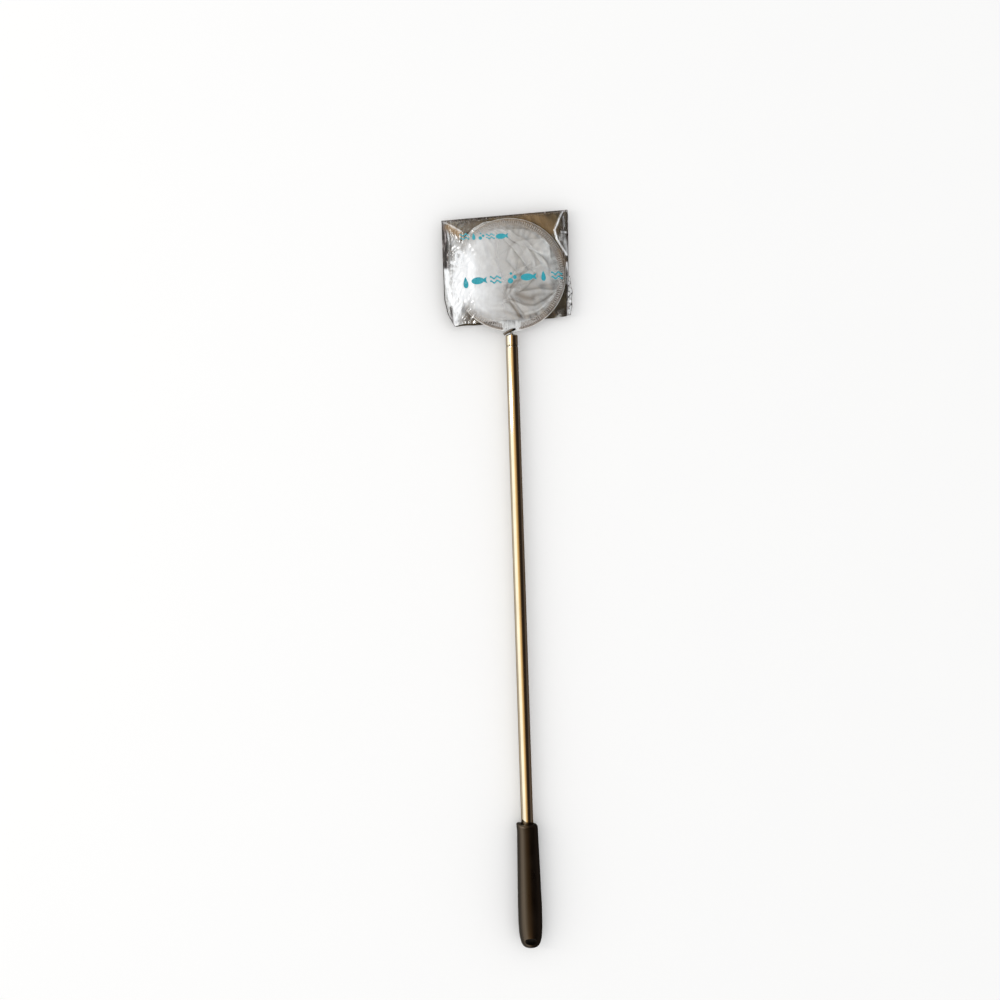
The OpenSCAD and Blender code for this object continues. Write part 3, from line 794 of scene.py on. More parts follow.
def springs(rest):
    """Groups of point pairs that can be moved together, with the length of each pair."""
    index = np.arange(BAG_ROWS * BAG_COLS).reshape(BAG_ROWS, BAG_COLS)
    flat = rest.reshape(-1, 3)
    groups = []

    def keep(rows, cols, down, across, stiffness, only_push=False):
        """Pairs each point of some rows and columns with the one that lies down and across."""
        rows, cols = np.array(rows), np.array(cols)
        a = index[np.ix_(rows, cols)].ravel()
        b = index[np.ix_(rows + down, (cols + across) % BAG_COLS)].ravel()
        length = np.linalg.norm(flat[a] - flat[b], axis=1)
        groups.append((a, b, length * (0.8 if only_push else 1.0), stiffness, only_push))

    # Threads hold each other at one step, and at two steps they only keep from closing up
    for step, stiffness, push in ((1, 1.0, False), (2, 0.6, True)):
        for first in range(2 * step):
            keep(range(first, BAG_ROWS - step, 2 * step), range(BAG_COLS), step, 0, stiffness, push)
            keep(range(BAG_ROWS), range(first, BAG_COLS, 2 * step), 0, step, stiffness, push)
    # The two slants of each mesh hold it square, but loosely
    for first in (0, 1):
        for parity in (0, 1):
            cols = range(parity, BAG_COLS, 2)
            keep(range(first, BAG_ROWS - 1, 2), cols, 1, 1, 0.35)
            keep(range(first + 1, BAG_ROWS, 2), cols, -1, 1, 0.35)
    return groups


def cloth_area(grid):
    """Area of a closed grid of points, in square millimetres."""
    after = np.roll(grid, -1, axis=1)
    one = np.cross(grid[1:] - grid[:-1], after[:-1] - grid[:-1])
    other = np.cross(after[:-1] - after[1:], grid[1:] - after[1:])
    return (np.linalg.norm(one, axis=-1) + np.linalg.norm(other, axis=-1)).sum() / 2


# %% Solver for the pouch
PULL = np.array([-0.014, 0.012, -0.05])
KEPT_SPEED, FILM_DRAG, PRESSED_Z, PRESSED_BY = 0.94, 0.8, -5.2, 0.72
HOOP_ROOM, EXTRA_ROOM = 35.5, 4.0


def settle_bag(steps, rounds):
    """Folds the bag. Gives back its points, the run down its side, and its cloth's area."""
    rest, run = bag_at_rest()
    rest[0, :, 2] = 0
    groups = springs(rest)
    pin = rest[0] - (0, 0, 0.1)
    turn = np.arctan2(rest[..., 1], rest[..., 0])
    # A fixed starting sway, wider toward the foot, decides which way the folds fall
    sway = np.linspace(0, 1, BAG_ROWS)[:, None]
    now = rest.copy()
    now[..., 0] += sway * (3.4 * np.sin(2 * turn + 0.4) + 1.6 * np.sin(5 * turn + 7 * sway))
    now[..., 1] += sway * (2.6 * np.cos(3 * turn + 2.1) + 1.5 * np.sin(7 * turn - 6 * sway))
    now, before = now.reshape(-1, 3), now.reshape(-1, 3).copy()
    for step in range(steps):
        share = min(1.0, step / (steps * PRESSED_BY))
        bottom = -(BAG_DEPTH + 2) * (1 - share) ** 1.3 + PRESSED_Z
        moved = now - before
        before = now.copy()
        now = now + KEPT_SPEED * moved + PULL * (0.6 + 0.8 * share)
        for _ in range(rounds):
            for a, b, length, stiffness, only_push in groups:
                gap = now[b] - now[a]
                far = np.sqrt((gap * gap).sum(1)) + 1e-9
                shift = stiffness * 0.5 * (far - length) / far
                if only_push:
                    shift = np.minimum(shift, 0)
                move = gap * shift[:, None]
                now[a] += move
                now[b] -= move
            now[:BAG_COLS] = pin
        # Press the bag between the floor that comes up and the top film
        s, t = to_sleeve(now + (0, HOOP_Y, 0))
        room = np.maximum(sleeve_height(s, t) - 1.0, 1.2)
        low = np.maximum(bottom, np.where(bottom > -20, -room, bottom))
        top = np.minimum(room - 0.4, 1.2)
        touching = (now[:, 2] < low) | (now[:, 2] > top)
        now[:, 2] = np.clip(now[:, 2], low, top)
        before[touching] += FILM_DRAG * (now[touching] - before[touching])
        # Keep it inside the hoop, with a little more room toward the upper left
        far = np.hypot(now[:, 0], now[:, 1])
        limit = HOOP_ROOM + EXTRA_ROOM * np.clip((-now[:, 0] * 0.62 + now[:, 1] * 0.78) / 36, 0, 1) ** 2
        over = far > limit
        now[over, :2] *= (limit[over] / far[over])[:, None]
    return now.reshape(BAG_ROWS, BAG_COLS, 3), run, cloth_area(rest)


bag, bag_run, bag_area = settle_bag(230, 9)
print("bag cloth, square mm: cut", round(bag_area), "settled", round(cloth_area(bag)))
print("bag settled:", bag.reshape(-1, 3).min(0).round(1), bag.reshape(-1, 3).max(0).round(1))

# %% [markdown]
# The solver's folds are flat ones. The deeper ones, where one lap of cloth lies over another, are
# drawn along paths in the sleeve's millimetres: the cloth is lifted on a path's left, with a painted
# shadow on its right and a painted highlight along its edge. Strands are gathered cloth, painted
# white: partly for its close threads and partly as painted highlight. Each path is a list of
# places across and along the sleeve.

# %% Laps of cloth: (path, lift, painted shadow)
FOLDS = [
    ([(28.3, 14.3), (28.4, 19.5), (24.1, 22.3), (18.2, 23), (11.6, 23), (4.9, 21.5),
      (0.5, 16.8), (-1.2, 10.7), (1, 7.5)], 0.8, 0.26),
    ([(27.3, 3), (28.3, 9), (28.2, 14.5)], 0.5, 0.2),
    ([(21, 20.5), (13.5, 18), (8, 12), (6.5, 7.5)], 0.5, 0.16),
    ([(18, -3), (12, -6.5), (3, -7.5)], 0.6, 0.2),
    ([(24, -18.5), (17, -24.5), (9, -25.5)], 0.6, 0.26),
    ([(1.3, -8.5), (-2, -8.1), (-4.1, -10.2), (-4.3, -13.5), (-2.5, -16.9), (0.6, -19.5),
      (3.5, -23.7), (5.5, -27.5)], 1.3, 0.6),
    ([(13.2, 3.1), (10.7, 5.3), (8.1, 5.5), (4.6, 3.2)], 0.8, 0.3),
    ([(27.4, -15.3), (21.1, -19), (14.9, -21.4), (7.8, -20.7), (0.8, -16.9)], 1, 0.55),
    ([(27.6, -12), (19.2, -10.1), (8.6, -11)], 0.8, 0.45),
    ([(-21.4, -22.5), (-14.7, -21.5), (-6.3, -22.9), (-1.8, -24.2)], 1.1, 0.45),
    ([(-6.9, -30.1), (-14.7, -28.4), (-19, -25), (-22.7, -22.1)], 0.8, 0.35),
    ([(2.7, -26.3), (9.1, -27.8), (15.2, -26.4), (20, -23.9)], 0.9, 0.4),
    ([(24.9, 24.5), (18.7, 29), (12.3, 30.6), (5.7, 30.7), (0.4, 30.3), (-6.1, 31.5),
      (-12.7, 31.1), (-18.9, 28.4)], 0.8, 0.32),
    ([(-24, 2), (-19, 9.5), (-14.5, 21)], 0.7, 0.14),
    ([(-6, 3), (-9.5, 12), (-8, 22)], 0.7, 0.12),
]
# (path, width, strength): painted shade in hollows between laps, and gathered strands painted white
SHADES = [
    ([(3.5, -12.5), (8.5, -15.2), (14, -16.6)], 1.9, 0.55),
    ([(15, -14.5), (21.5, -14.2)], 1.4, 0.35),
    ([(20.7, -8.1), (28.6, -8.3)], 1.4, 0.4),
    ([(-18.4, -24.6), (-14.4, -25.3), (-9.9, -26.8)], 1.8, 0.4),
    ([(7, -29.6), (11, -29.2), (15.1, -27.9)], 1.6, 0.4),
    ([(30.5, 14), (31.5, 2), (30, -9)], 2.2, 0.3),
    ([(12, -13), (26, -19)], 9, 0.15),
    ([(7.5, 0.5), (2, -1), (-1.8, -4.7), (-3.7, -11.8), (-0.5, -19.5), (4.1, -27.8)], 0.75, 0.55),
    ([(8.7, -3), (3.2, -4.1), (0.2, -7.2), (-1.1, -12.6), (2, -19.2), (6.8, -26.5)], 0.75, 0.5),
]
STRANDS = [
    ([(-4, -19.1), (-2.8, -24.5), (-2.4, -31.1)], 0.7, 0.8),
    ([(2.9, -23.7), (3.8, -27.7), (4, -33)], 0.7, 0.8),
    ([(0.5, -9.5), (1.2, -13), (2.6, -17), (6, -22)], 0.8, 0.9),
    ([(0, -26), (1, -33)], 0.8, 0.6),
    ([(-9, -27), (-4, -32.5)], 0.8, 0.5),
    ([(12, -25), (6, -32)], 0.8, 0.5),
    ([(9.5, -12.9), (16, -12.6), (22, -12.9)], 0.6, 0.7),
    ([(5.5, -18.3), (12, -19.6), (18, -18.6)], 0.5, 0.6),
    ([(28, 20), (28, 5)], 0.5, 0.5),
    ([(4, 5), (9, 6.8), (12, 5)], 0.7, 0.8),
    ([(-4, 9), (9, 10)], 5, 0.35),
    ([(7.1, 1.9), (1.5, 0.2), (-2.8, -3.9), (-4.8, -11.8), (-1.5, -20), (3, -28.5)], 0.5, 1.3),
    ([(8, -1), (2.5, -2.2), (-0.8, -5.5), (-2.6, -11.8), (0.6, -19), (5.2, -27)], 0.45, 1.2),
    ([(9.5, -5), (4, -6), (1.2, -9), (0.4, -13.5), (3.4, -19.5), (8.5, -26)], 0.45, 1.1),
]

# %% Pouch
smooth = bag.copy()
for _ in range(2):
    around = (np.roll(smooth, 1, axis=1) + np.roll(smooth, -1, axis=1)) / 2
    smooth[1:-1] = (smooth[1:-1] * 2 + around[1:-1] + (smooth[:-2] + smooth[2:]) / 2) / 4
points = np.concatenate([smooth.reshape(-1, 3), smooth[-1].mean(axis=0)[None]]) + (0, HOOP_Y, 0)
foot = len(points) - 1
faces = grid_faces(BAG_ROWS, BAG_COLS)
faces += [(foot - BAG_COLS + i, foot - BAG_COLS + (i + 1) % BAG_COLS, foot) for i in range(BAG_COLS)]
pouch = new_piece("net_bag", points, faces, pouch_net, "net_head", ["net_pouch"])

# %% [markdown]
# The bag is sewn from gores, which narrow toward its foot. Each gore's threads run true on the
# flat cloth, so the UV map starts afresh at each seam, and the threads meet there at an angle.

# %% Gores
GORES = 5
gore_cols = BAG_COLS // GORES
layer = pouch.data.uv_layers.new(name="threads")
hanging, _ = bag_at_rest()
girth = np.append(np.hypot(hanging[:, 0, 0], hanging[:, 0, 1]), 0.0)
down = np.append(bag_run, bag_run[-1] + BAG_FOOT_R)
for face_index, polygon in enumerate(pouch.data.polygons):
    row, column = divmod(face_index, BAG_COLS)
    gore_centre = (column // gore_cols + 0.5) * gore_cols
    corners = [(column, row), (column + 1, row), (column + 1, row + 1), (column, row + 1)]
    if polygon.loop_total == 3:
        del corners[2]
    for loop_index, (c, r) in zip(polygon.loop_indices, corners):
        turn = (c - gore_centre) * 2 * math.pi / BAG_COLS
        layer.data[loop_index].uv = (turn * girth[r], down[r])
finer = pouch.modifiers.new("finer", "SUBSURF")
finer.levels = finer.render_levels = 2
settle(pouch)

# %% Laps pressed into the bag, with painted shade and light
points = np.empty(len(pouch.data.vertices) * 3, dtype=np.float32)
pouch.data.vertices.foreach_get("co", points)
points = points.reshape(-1, 3).astype(float) / MM
bag_s, bag_t = to_sleeve(points)
shade = sum(stroke(bag_s, bag_t, *line) for line in SHADES)
light = sum(stroke(bag_s, bag_t, *line) for line in STRANDS)
# Painted light: the cloth is made whiter toward the left, where the light comes from
light = light + 0.6 * np.clip((12 - bag_s) / 26, 0, 1)
# The laps that lie underneath are close together too, and hide the film below them.
# They are also painted greyer, as painted shade.
under = np.clip((-1.6 - points[:, 2]) / 1.4, 0, 1)
lift = np.zeros_like(bag_s)
for path, height, strength in FOLDS:
    side = side_of(bag_s, bag_t, path)
    over = 1 / (1 + np.exp(-side / 0.25))
    lift += 1.3 * height * over * np.exp(-(np.maximum(side, 0) / 5) ** 2)
    # A painted shadow on the path's right, and a painted highlight along the lifted edge
    shade = shade + 1.5 * strength * (1 - over) * np.exp(np.minimum(side, 0) / 1.5)
    light = light + 1.5 * strength * np.exp(-((side - 0.6) / 0.5) ** 2)
# Near the hem the bag puckers, with painted shade in each pucker's hollow
away = np.hypot(points[:, 0], points[:, 1] - HOOP_Y)
bearing = np.arctan2(points[:, 1] - HOOP_Y, points[:, 0])
pucker = np.sin(41 * bearing + 2 * np.sin(5 * bearing)) * np.clip((away - 25) / 7, 0, 1)
lift = (lift + 0.32 * pucker) * np.clip((33.5 - away) / 1.5, 0, 1)
shade = shade + 0.2 * np.clip(-pucker, 0, 1)
ceiling = np.maximum(sleeve_height(bag_s, bag_t) * 0.8 - 0.8, 1.0)
points[:, 2] = np.minimum(points[:, 2] + lift, ceiling)
pouch.data.vertices.foreach_set("co", (points * MM).astype(np.float32).ravel())
paint(pouch, "fold_light_and_shade", np.stack([shade, light, under, np.ones_like(shade)], axis=-1).clip(0, 1))
print("bag after its laps:", points.min(0).round(1), points.max(0).round(1))

print("cloth, mm: bag", round(2 * math.pi * BAG_R, 1), "by", round(bag_run[-1], 1),
      "hem", round((turns[-1] - turns[0]) * RING_R, 1), "by", round(run[-1], 1))

# %% [markdown]
# At the neck the hem's two ends are bunched together over the wire. The bunch is a small fan of
# the same netting, pleated so tightly that it looks solid white, on both faces of the hoop.

# %% Neck bunch
FAN_STEPS, FAN_ROWS = 120, 14
# Its half width, its overhang past the wire, its reach inwards and its fattest half thickness
FAN_HALF, FAN_OVER, FAN_REACH, FAN_FAT = 7.6, 2.1, 6.4, 1.55
points, uvs = [], []
for out in np.linspace(0, 1, FAN_ROWS):
    for a in np.linspace(0, 2 * math.pi, FAN_STEPS, endpoint=False):
        across = math.cos(a) * (FAN_HALF - 2.4 * out + 1.2 * out * out)
        side = math.sin(a)
        pleat = 0.28 * math.sin(across * 4.6 + 0.8 * math.sin(5 * out)) * (1 - 0.3 * out)
        ragged = 1 + 0.16 * math.sin(across * 1.7 + 0.6) + 0.10 * math.sin(across * 4.1)
        radius = RING_R + FAN_OVER - FAN_REACH * (1 - out) * ragged - 0.014 * across * across
        fat = FAN_FAT * math.sqrt(max(0.0, 1 - (2 * out - 1.16) ** 2 / 1.36)) * (abs(side) ** 0.55)
        height = (fat + pleat * (abs(side) > 0.2)) * (1 if side > 0 else -1)
        points.append(ring_point(radius + 0.25 * math.sin(across * 2.9),
                                 -math.pi / 2 + across / RING_R, height))
        uvs.append((across * 2.6, out * 8))
bunch = new_piece("neck_bunch", points, grid_faces(FAN_ROWS, FAN_STEPS), pouch_net, "net_head")
write_uv(bunch, uvs)

# %% [markdown]
# ### Stitches and ticks
# The hem is sewn with a zigzag along its inner edge, and its folded netting shows as fine ticks
# square to the wire. Both are one short thread, repeated along a circle, so one Geometry Nodes
# tree makes them: it walks along a path at a set pitch, and turns each thread by a set angle.


# %% Geometry Nodes tree for threads along a path
def new_tree(name, sizes):
    """A node tree with a geometry input and output, and named sizes."""
    tree = bpy.data.node_groups.new(name, "GeometryNodeTree")
    tree.interface.new_socket("Geometry", in_out="INPUT", socket_type="NodeSocketGeometry")
    for label, value in sizes.items():
        socket = tree.interface.new_socket(label, in_out="INPUT", socket_type="NodeSocketFloat")
        socket.default_value = value
    tree.interface.new_socket("Geometry", in_out="OUTPUT", socket_type="NodeSocketGeometry")
    return tree, tree.nodes.new("NodeGroupInput").outputs


def combine(tree, x=0.0, y=0.0, z=0.0):
    return add(tree, "ShaderNodeCombineXYZ", {0: x, 1: y, 2: z}).outputs[0]


def end_tree(tree, geometry, material):
    """Makes the copies real and smooth, gives them a material, and ends the tree."""
    real = add(tree, "GeometryNodeRealizeInstances", {0: geometry}).outputs[0]
    soft = add(tree, "GeometryNodeSetShadeSmooth", {"Geometry": real}).outputs[0]
    named = add(tree, "GeometryNodeSetMaterial", {"Geometry": soft, "Material": material}).outputs[0]
    add(tree, "NodeGroupOutput", {0: named})


thread_tree, given = new_tree("threads_along_path", {
    "Pitch": 1.0, "Length": 1.0, "Width": 0.3, "Turn": 0.0, "Zigzag": 0.0, "Jitter": 0.0,
})
walk = add(thread_tree, "GeometryNodeResampleCurve", {
    "Curve": add(thread_tree, "GeometryNodeMeshToCurve", {0: given["Geometry"]}).outputs[0],
    "Length": given["Pitch"],
}, mode="LENGTH")
ball = add(thread_tree, "GeometryNodeMeshUVSphere", {"Segments": 6, "Rings": 5, "Radius": 0.5})
one_thread = add(thread_tree, "GeometryNodeTransform", {
    "Geometry": ball.outputs[0],
    "Scale": combine(thread_tree, given["Length"], given["Width"], given["Width"]),
})
odd = math_node(thread_tree, "PINGPONG", add(thread_tree, "GeometryNodeInputIndex").outputs[0], 1.0)
sway = times(thread_tree, math_node(thread_tree, "SUBTRACT", odd, 0.5), given["Zigzag"])
chance = add(thread_tree, "FunctionNodeRandomValue", {"Min": -1.0, "Max": 1.0, "Seed": 7}, data_type="FLOAT")
loose = [socket for socket in chance.outputs if socket.enabled][0]
sway = plus(thread_tree, sway, times(thread_tree, loose, given["Jitter"]))
along = add(thread_tree, "FunctionNodeAlignRotationToVector", {
    "Vector": add(thread_tree, "GeometryNodeInputTangent").outputs[0],
}, axis="X")
turned_by = add(thread_tree, "FunctionNodeRotateRotation", {
    "Rotation": along.outputs[0],
    "Rotate By": combine(thread_tree, z=plus(thread_tree, given["Turn"], sway)),
}, rotation_space="LOCAL")
threads = add(thread_tree, "GeometryNodeInstanceOnPoints", {
    "Points": walk.outputs[0], "Instance": one_thread.outputs[0], "Rotation": turned_by.outputs[0],
})
end_tree(thread_tree, threads.outputs[0], thread_white)


# %% Seams and ticks
SEAM_R, SEAM_Z, TICK_R, TICK_Z = 33.25, 0.52, 34.9, 0.86
SEAM = {"Pitch": 1.15 * MM, "Length": 1.35 * MM, "Width": 0.26 * MM, "Zigzag": 1.1, "Jitter": 0.1}
TICK = {"Pitch": 1.45 * MM, "Length": 3.0 * MM, "Width": 0.36 * MM, "Turn": math.pi / 2, "Jitter": 0.1}


def thread_ring(name, radius, z, sizes):
    """Runs the tree on a circle along the hem, and keeps its result as a plain mesh."""
    path = np.array([ring_point(radius, a, z) for a in np.linspace(turns[0], turns[-1], 500)])
    mesh = bpy.data.meshes.new(name)
    mesh.from_pydata((path * MM).tolist(), [(k, k + 1) for k in range(len(path) - 1)], [])
    piece = add_object(name, mesh)
    nodes = piece.modifiers.new("nodes", "NODES")
    nodes.node_group = thread_tree
    for item in thread_tree.interface.items_tree:
        if item.in_out == "INPUT" and item.name in sizes:
            nodes[item.identifier] = sizes[item.name]
    settle(piece)
    join_frame(piece, "net_head")


thread_ring("hem_seam_top", SEAM_R, SEAM_Z, SEAM)
thread_ring("hem_seam_under", SEAM_R, -SEAM_Z, SEAM)
thread_ring("hem_ticks_top", TICK_R, TICK_Z, TICK)

# %% [markdown]
# ## Clear film sleeve
# The sleeve is one length of thin film, folded at its two sides, heat sealed across its far end
# and open toward the handle. It is drawn here as rows of points round a flat loop. Its front is
# clear, with painted highlights and glare where it is creased, and its back is smoky brown, and
# clearest in its middle. Creases are ridges in the mesh, each drawn along a few points, and
# painted highlights and painted shade lie along them.


# %% Crinkles
def crinkle(s, t, size, turn=0.0, stretch=1.0, seed=0):
    """Sharp-edged waves from four crossed sines, the same on each run, from -1 to 1."""
    a = (s * math.cos(turn) + t * math.sin(turn)) / size
    b = (-s * math.sin(turn) + t * math.cos(turn)) / (size * stretch)
    wave = np.sin(a * 2.1 + 1.7 * np.sin(b * 1.3 + seed) + seed)
    wave += np.sin(b * 1.9 + 1.5 * np.sin(a * 1.7 - seed) + 2.2 * seed)
    wave += 0.6 * np.sin(a * 4.3 + b * 2.6 + 2 * np.sin(b * 2.3 + 3 * seed))
    return 1 - np.abs(wave) / 1.3


# %% Where the film is creased, and where highlights and shade are painted on it
# A small round wrinkle near the left edge
CURL = [(-34.6, 14.4), (-33.9, 16.6), (-31.8, 17.2), (-30, 15.4), (-30.4, 12.6), (-32.6, 11.4),
        (-34.4, 12.6), (-34.6, 14.4)]
# (path, width, height): where the front film stands up in a crease
CREASES = [
    ([(-41.6, 39), (-35.5, 35.2), (-29.7, 30.4), (-24, 28)], 1.3, 1.1),
    ([(-41, 38), (-38.6, 31), (-37.7, 23.1), (-38.4, 12)], 1.1, 0.9),
    ([(38.7, 38.9), (35.8, 33.3), (32.2, 26.3), (33.3, 19.5), (39.6, 8.3)], 1.2, 1.2),
    ([(36.4, 24.8), (39.9, 24.3)], 0.8, 0.8),
    ([(-37.6, 10.8), (-33, 8), (-27.9, 6.4)], 1, 0.8),
    ([(-38, 7.2), (-32.5, 5.6), (-28.5, 3)], 1, 0.7),
    ([(-39.2, 0.6), (-34, -2.2), (-28.2, -1)], 1.2, 0.8),
    ([(-31.6, -17.6), (-35.8, -23.4), (-39, -30.4)], 1.2, 1.2),
    ([(-40.9, -17.6), (-39.9, -24), (-39.1, -30.6)], 1, 0.8),
    ([(37.4, 5), (38.6, -3.8), (38.9, -16)], 1, 0.8),
    (CURL, 1, 0.9),
]
# (path, width, strength): painted highlights and glare on the front film, along creases and crinkles
GLARE_STROKES = [
    ([(-41.4, 38.8), (-35.5, 35), (-29.7, 30.6)], 0.55, 1),
    ([(-40.6, 37.4), (-38.6, 31), (-37.7, 23.1)], 0.5, 0.95),
    ([(38.6, 38.7), (35.8, 33.3), (32.2, 26.3), (33.3, 19.5), (38.6, 9.6)], 0.55, 0.95),
    ([(36.6, 24.7), (39.5, 24.4)], 0.6, 1),
    (CURL, 0.9, 0.95),
    ([(-37.6, 10.8), (-33, 8.4), (-27.9, 7)], 0.9, 0.9),
    ([(-37.9, 6.8), (-32.5, 5.6), (-28.5, 2.6)], 0.8, 0.7),
    ([(-36.5, 1), (-36.5, -8), (-37, -15)], 2.4, 0.85),
    ([(-31.5, 2), (-31.5, -6), (-33, -14)], 3.6, 1),
    ([(-27.5, 10), (-26.5, 0), (-29.5, -10)], 4, 0.34),
    ([(-36.2, -18.5), (-37.4, -23), (-38.7, -28.6)], 2.2, 1.3),
    ([(-34.5, 20.5), (-35.2, 27)], 2.6, 0.35),
    ([(-29, 21), (-26, 8)], 5, 0.22),
    ([(-41.6, 6), (-41.2, -6), (-40.4, -16)], 1.6, 0.85),
    ([(37, 39.6), (41.4, 39.4)], 0.8, 0.8),
    ([(37.3, 22.7), (38.7, 16.7), (39.2, 10.1)], 1.3, 0.42),
    ([(38.4, 4), (38.9, -3.6), (38, -9)], 0.8, 0.75),
    ([(38.6, 35), (38.9, 28.5)], 0.45, 0.6),
    ([(31, -2), (33.5, -12)], 1.2, 0.16),
]
# (path, width, strength): painted shade along the sleeve's folds and edges, and where it is a warm bronze
SHADE_STROKES = [
    ([(-40.4, 36), (-40.6, 24), (-41.6, 9)], 1.9, 1.3),
    ([(-42, 39.6), (0, 39.6), (41.7, 39.6)], 0.9, 1.2),
    ([(37.6, 37), (38.8, 30), (37.2, 20.5)], 1.8, 0.55),
    ([(38.4, 16), (38.8, 4), (38.2, -10)], 1.2, 0.2),
    ([(-36.6, -28.6), (-29.5, -26.8), (-25, -23.4)], 1.6, 0.25),
    ([(-40.6, -19), (-40.2, -29.5)], 0.8, 0.9),
    ([(24, -27.6), (34.6, -28)], 2.6, 0.3),
    ([(-28, 36.5), (-12, 38.6)], 1.6, 0.5),
    ([(36.2, 18), (36.8, 10), (36, 2)], 0.8, 0.5),
]
BRONZE = [
    ([(-38, 34.6), (-33.2, 31), (-30.4, 28.6)], 2.2, 1.2),
    ([(14, 37.6), (24, 34.5), (30, 28)], 3.4, 0.45),
    ([(34, 12), (36.4, 4)], 2.2, 0.3),
]


# %% The front film's height
FRONT_LOW = 0.16


def front_height(s, t):
    """Height of the front film, kept clear above the hoop and the bag."""
    side = np.clip(np.abs(s) / half_width(s, t), 0, 1)
    z = sleeve_height(s, t) * (0.86 - 0.10 * np.clip(-t / 30, 0, 1))
    # The crinkles die out toward the edges and the seal, and the left side has finer ones too
    inner = np.clip((1 - side) * 9, 0, 1) * np.clip((SLEEVE_UP - 0.6 - t) / 3, 0, 1)
    z = z + inner * 0.22 * crinkle(s, t, 5.5, 0.5, 1.8, 1.3)
    left = np.clip((-s - 20) / 14, 0, 1)
    z = z + inner * left * 0.42 * crinkle(s, t, 2.6, -0.7, 2.2, 4.1)
    for path, width, height in CREASES:
        z = z + inner * ridge(s, t, path, width, height * 0.7)
    return np.maximum(z, FRONT_LOW)


# %% Clear film of the front
def film_marks(tree):
    """The marks painted on the film's points: painted glare and highlights, painted shade, bronze,
    and a painted sheen that is brightest on the left. On the back the last one says how clear the film is."""
    marks = add(tree, "ShaderNodeAttribute", attribute_name="film_marks")
    split = add(tree, "ShaderNodeSeparateColor", {0: marks.outputs["Color"]}).outputs
    return split[0], split[1], split[2], marks.outputs["Alpha"]


clear_film, tree, coords = new_material("clear_film")
glare_marks, dark, bronze, glare_and_clearness = film_marks(tree)
wrinkle = grain(tree, coords, 4.2, 2.5, (1, 0.6, 1))
relief = bump(tree, wrinkle, 0.35, 0.5)
shine = shader(tree, "Glossy", {"Color": (1, 1, 1, 1), "Roughness": 0.12, "Normal": relief})
see = shader(tree, "Transparent", {"Color": (0.975, 0.985, 0.985, 1)})
# The film is one thin surface, so light leaving it must be treated like light coming in
from_under = add(tree, "ShaderNodeNewGeometry").outputs["Backfacing"]
edge_on = add(tree, "ShaderNodeFresnel", {
    "IOR": remap(tree, from_under, 0.0, 1.0, 1.55, 1 / 1.55), "Normal": relief,
}).outputs[0]
film = mix_shaders(tree, times(tree, edge_on, 1.7, clamp=True), see, shine)
streaks = grain(tree, coords, 2.2, 5.0, (1.3, 0.35, 1))
broken = remap(tree, streaks, 0.38, 0.56, 0.45, 1.25)
# Painted glare: a white layer over the glare marks, broken into streaks, and over the painted sheen
glare_veil = times(tree, glare_and_clearness, remap(tree, grain(tree, coords, 9, 4.0), 0.3, 0.7, 0.8, 1.15))
glare_share = plus(tree, times(tree, glare_marks, broken), glare_veil, clamp=True)
painted_glare = shader(tree, "Principled", {
    "Base Color": (0.93, 0.95, 0.97, 1), "Roughness": 0.3, "Normal": relief,
})
film = mix_shaders(tree, glare_share, film, painted_glare)
# Painted shade along the folds and edges, in dark streaks
shade = shader(tree, "Principled", {
    "Base Color": ramp(tree, grain(tree, coords, 1.6, 4.0, (1.4, 0.22, 1)), [
        (0.44, (0.010, 0.007, 0.008)), (0.56, (0.07, 0.052, 0.055)), (0.70, (0.50, 0.46, 0.46)),
    ]),
    "Roughness": 0.3, "Specular IOR Level": 0.2, "Normal": relief,
})
film = mix_shaders(tree, times(tree, dark, 0.9, clamp=True), film, shade)
amber = shader(tree, "Principled", {
    "Base Color": blend_colours(tree, streaks, (0.30, 0.18, 0.085), (0.46, 0.32, 0.18)),
    "Roughness": 0.25, "Normal": relief,
})
show(tree, mix_shaders(tree, times(tree, bronze, 0.7, clamp=True), film, amber))

# %% Smoky film of the back
smoky_film, tree, coords = new_material("smoky_film")
_, dark, bronze, clearness = film_marks(tree)
cloudy = grain(tree, coords, 12, 6.0, (1, 0.55, 1))
tone = ramp(tree, cloudy, [
    (0.3, (0.026, 0.019, 0.012)), (0.5, (0.066, 0.050, 0.029)), (0.72, (0.125, 0.098, 0.056)),
])
tone = blend_colours(tree, times(tree, bronze, 0.9, clamp=True), tone, (0.30, 0.175, 0.07))
# Painted shade along the folds and edges darkens the back as well
tone = blend_colours(tree, dark, tone, (0.012, 0.009, 0.008))
smoke = shader(tree, "Principled", {
    "Base Color": tone, "Roughness": 0.17, "Specular IOR Level": 0.5,
    "Normal": bump(tree, grain(tree, coords, 8, 5.0, (1, 0.5, 1)), 1.1, 0.7),
})
# It is clearest in its middle, with an uneven edge
clear_share = plus(tree, clearness, remap(tree, cloudy, 0.3, 0.7, -0.2, 0.2))
clear_share = remap(tree, clear_share, 0.4, 0.95, 0.1, 0.85)
see = shader(tree, "Transparent", {
    "Color": blend_colours(tree, clear_share, (0.48, 0.41, 0.31), (0.95, 0.94, 0.91)),
})
show(tree, mix_shaders(tree, clear_share, smoke, see))

# %% Film sleeve
FRONT, BACK, ROWS, SEAL = 230, 70, 176, 1.9
BACK_LOW, BACK_HIGH, RIBS = -7.95, -0.12, 5.2
# The front's points crowd toward the two sides, where the film turns over
front_share = np.sin(np.linspace(-math.pi / 2, math.pi / 2, FRONT) * 0.999)
front_share = 0.6 * front_share + 0.4 * np.linspace(-1, 1, FRONT)
loop_share = np.concatenate([front_share, np.linspace(1, -1, BACK + 2)[1:-1]])
loop = FRONT + BACK


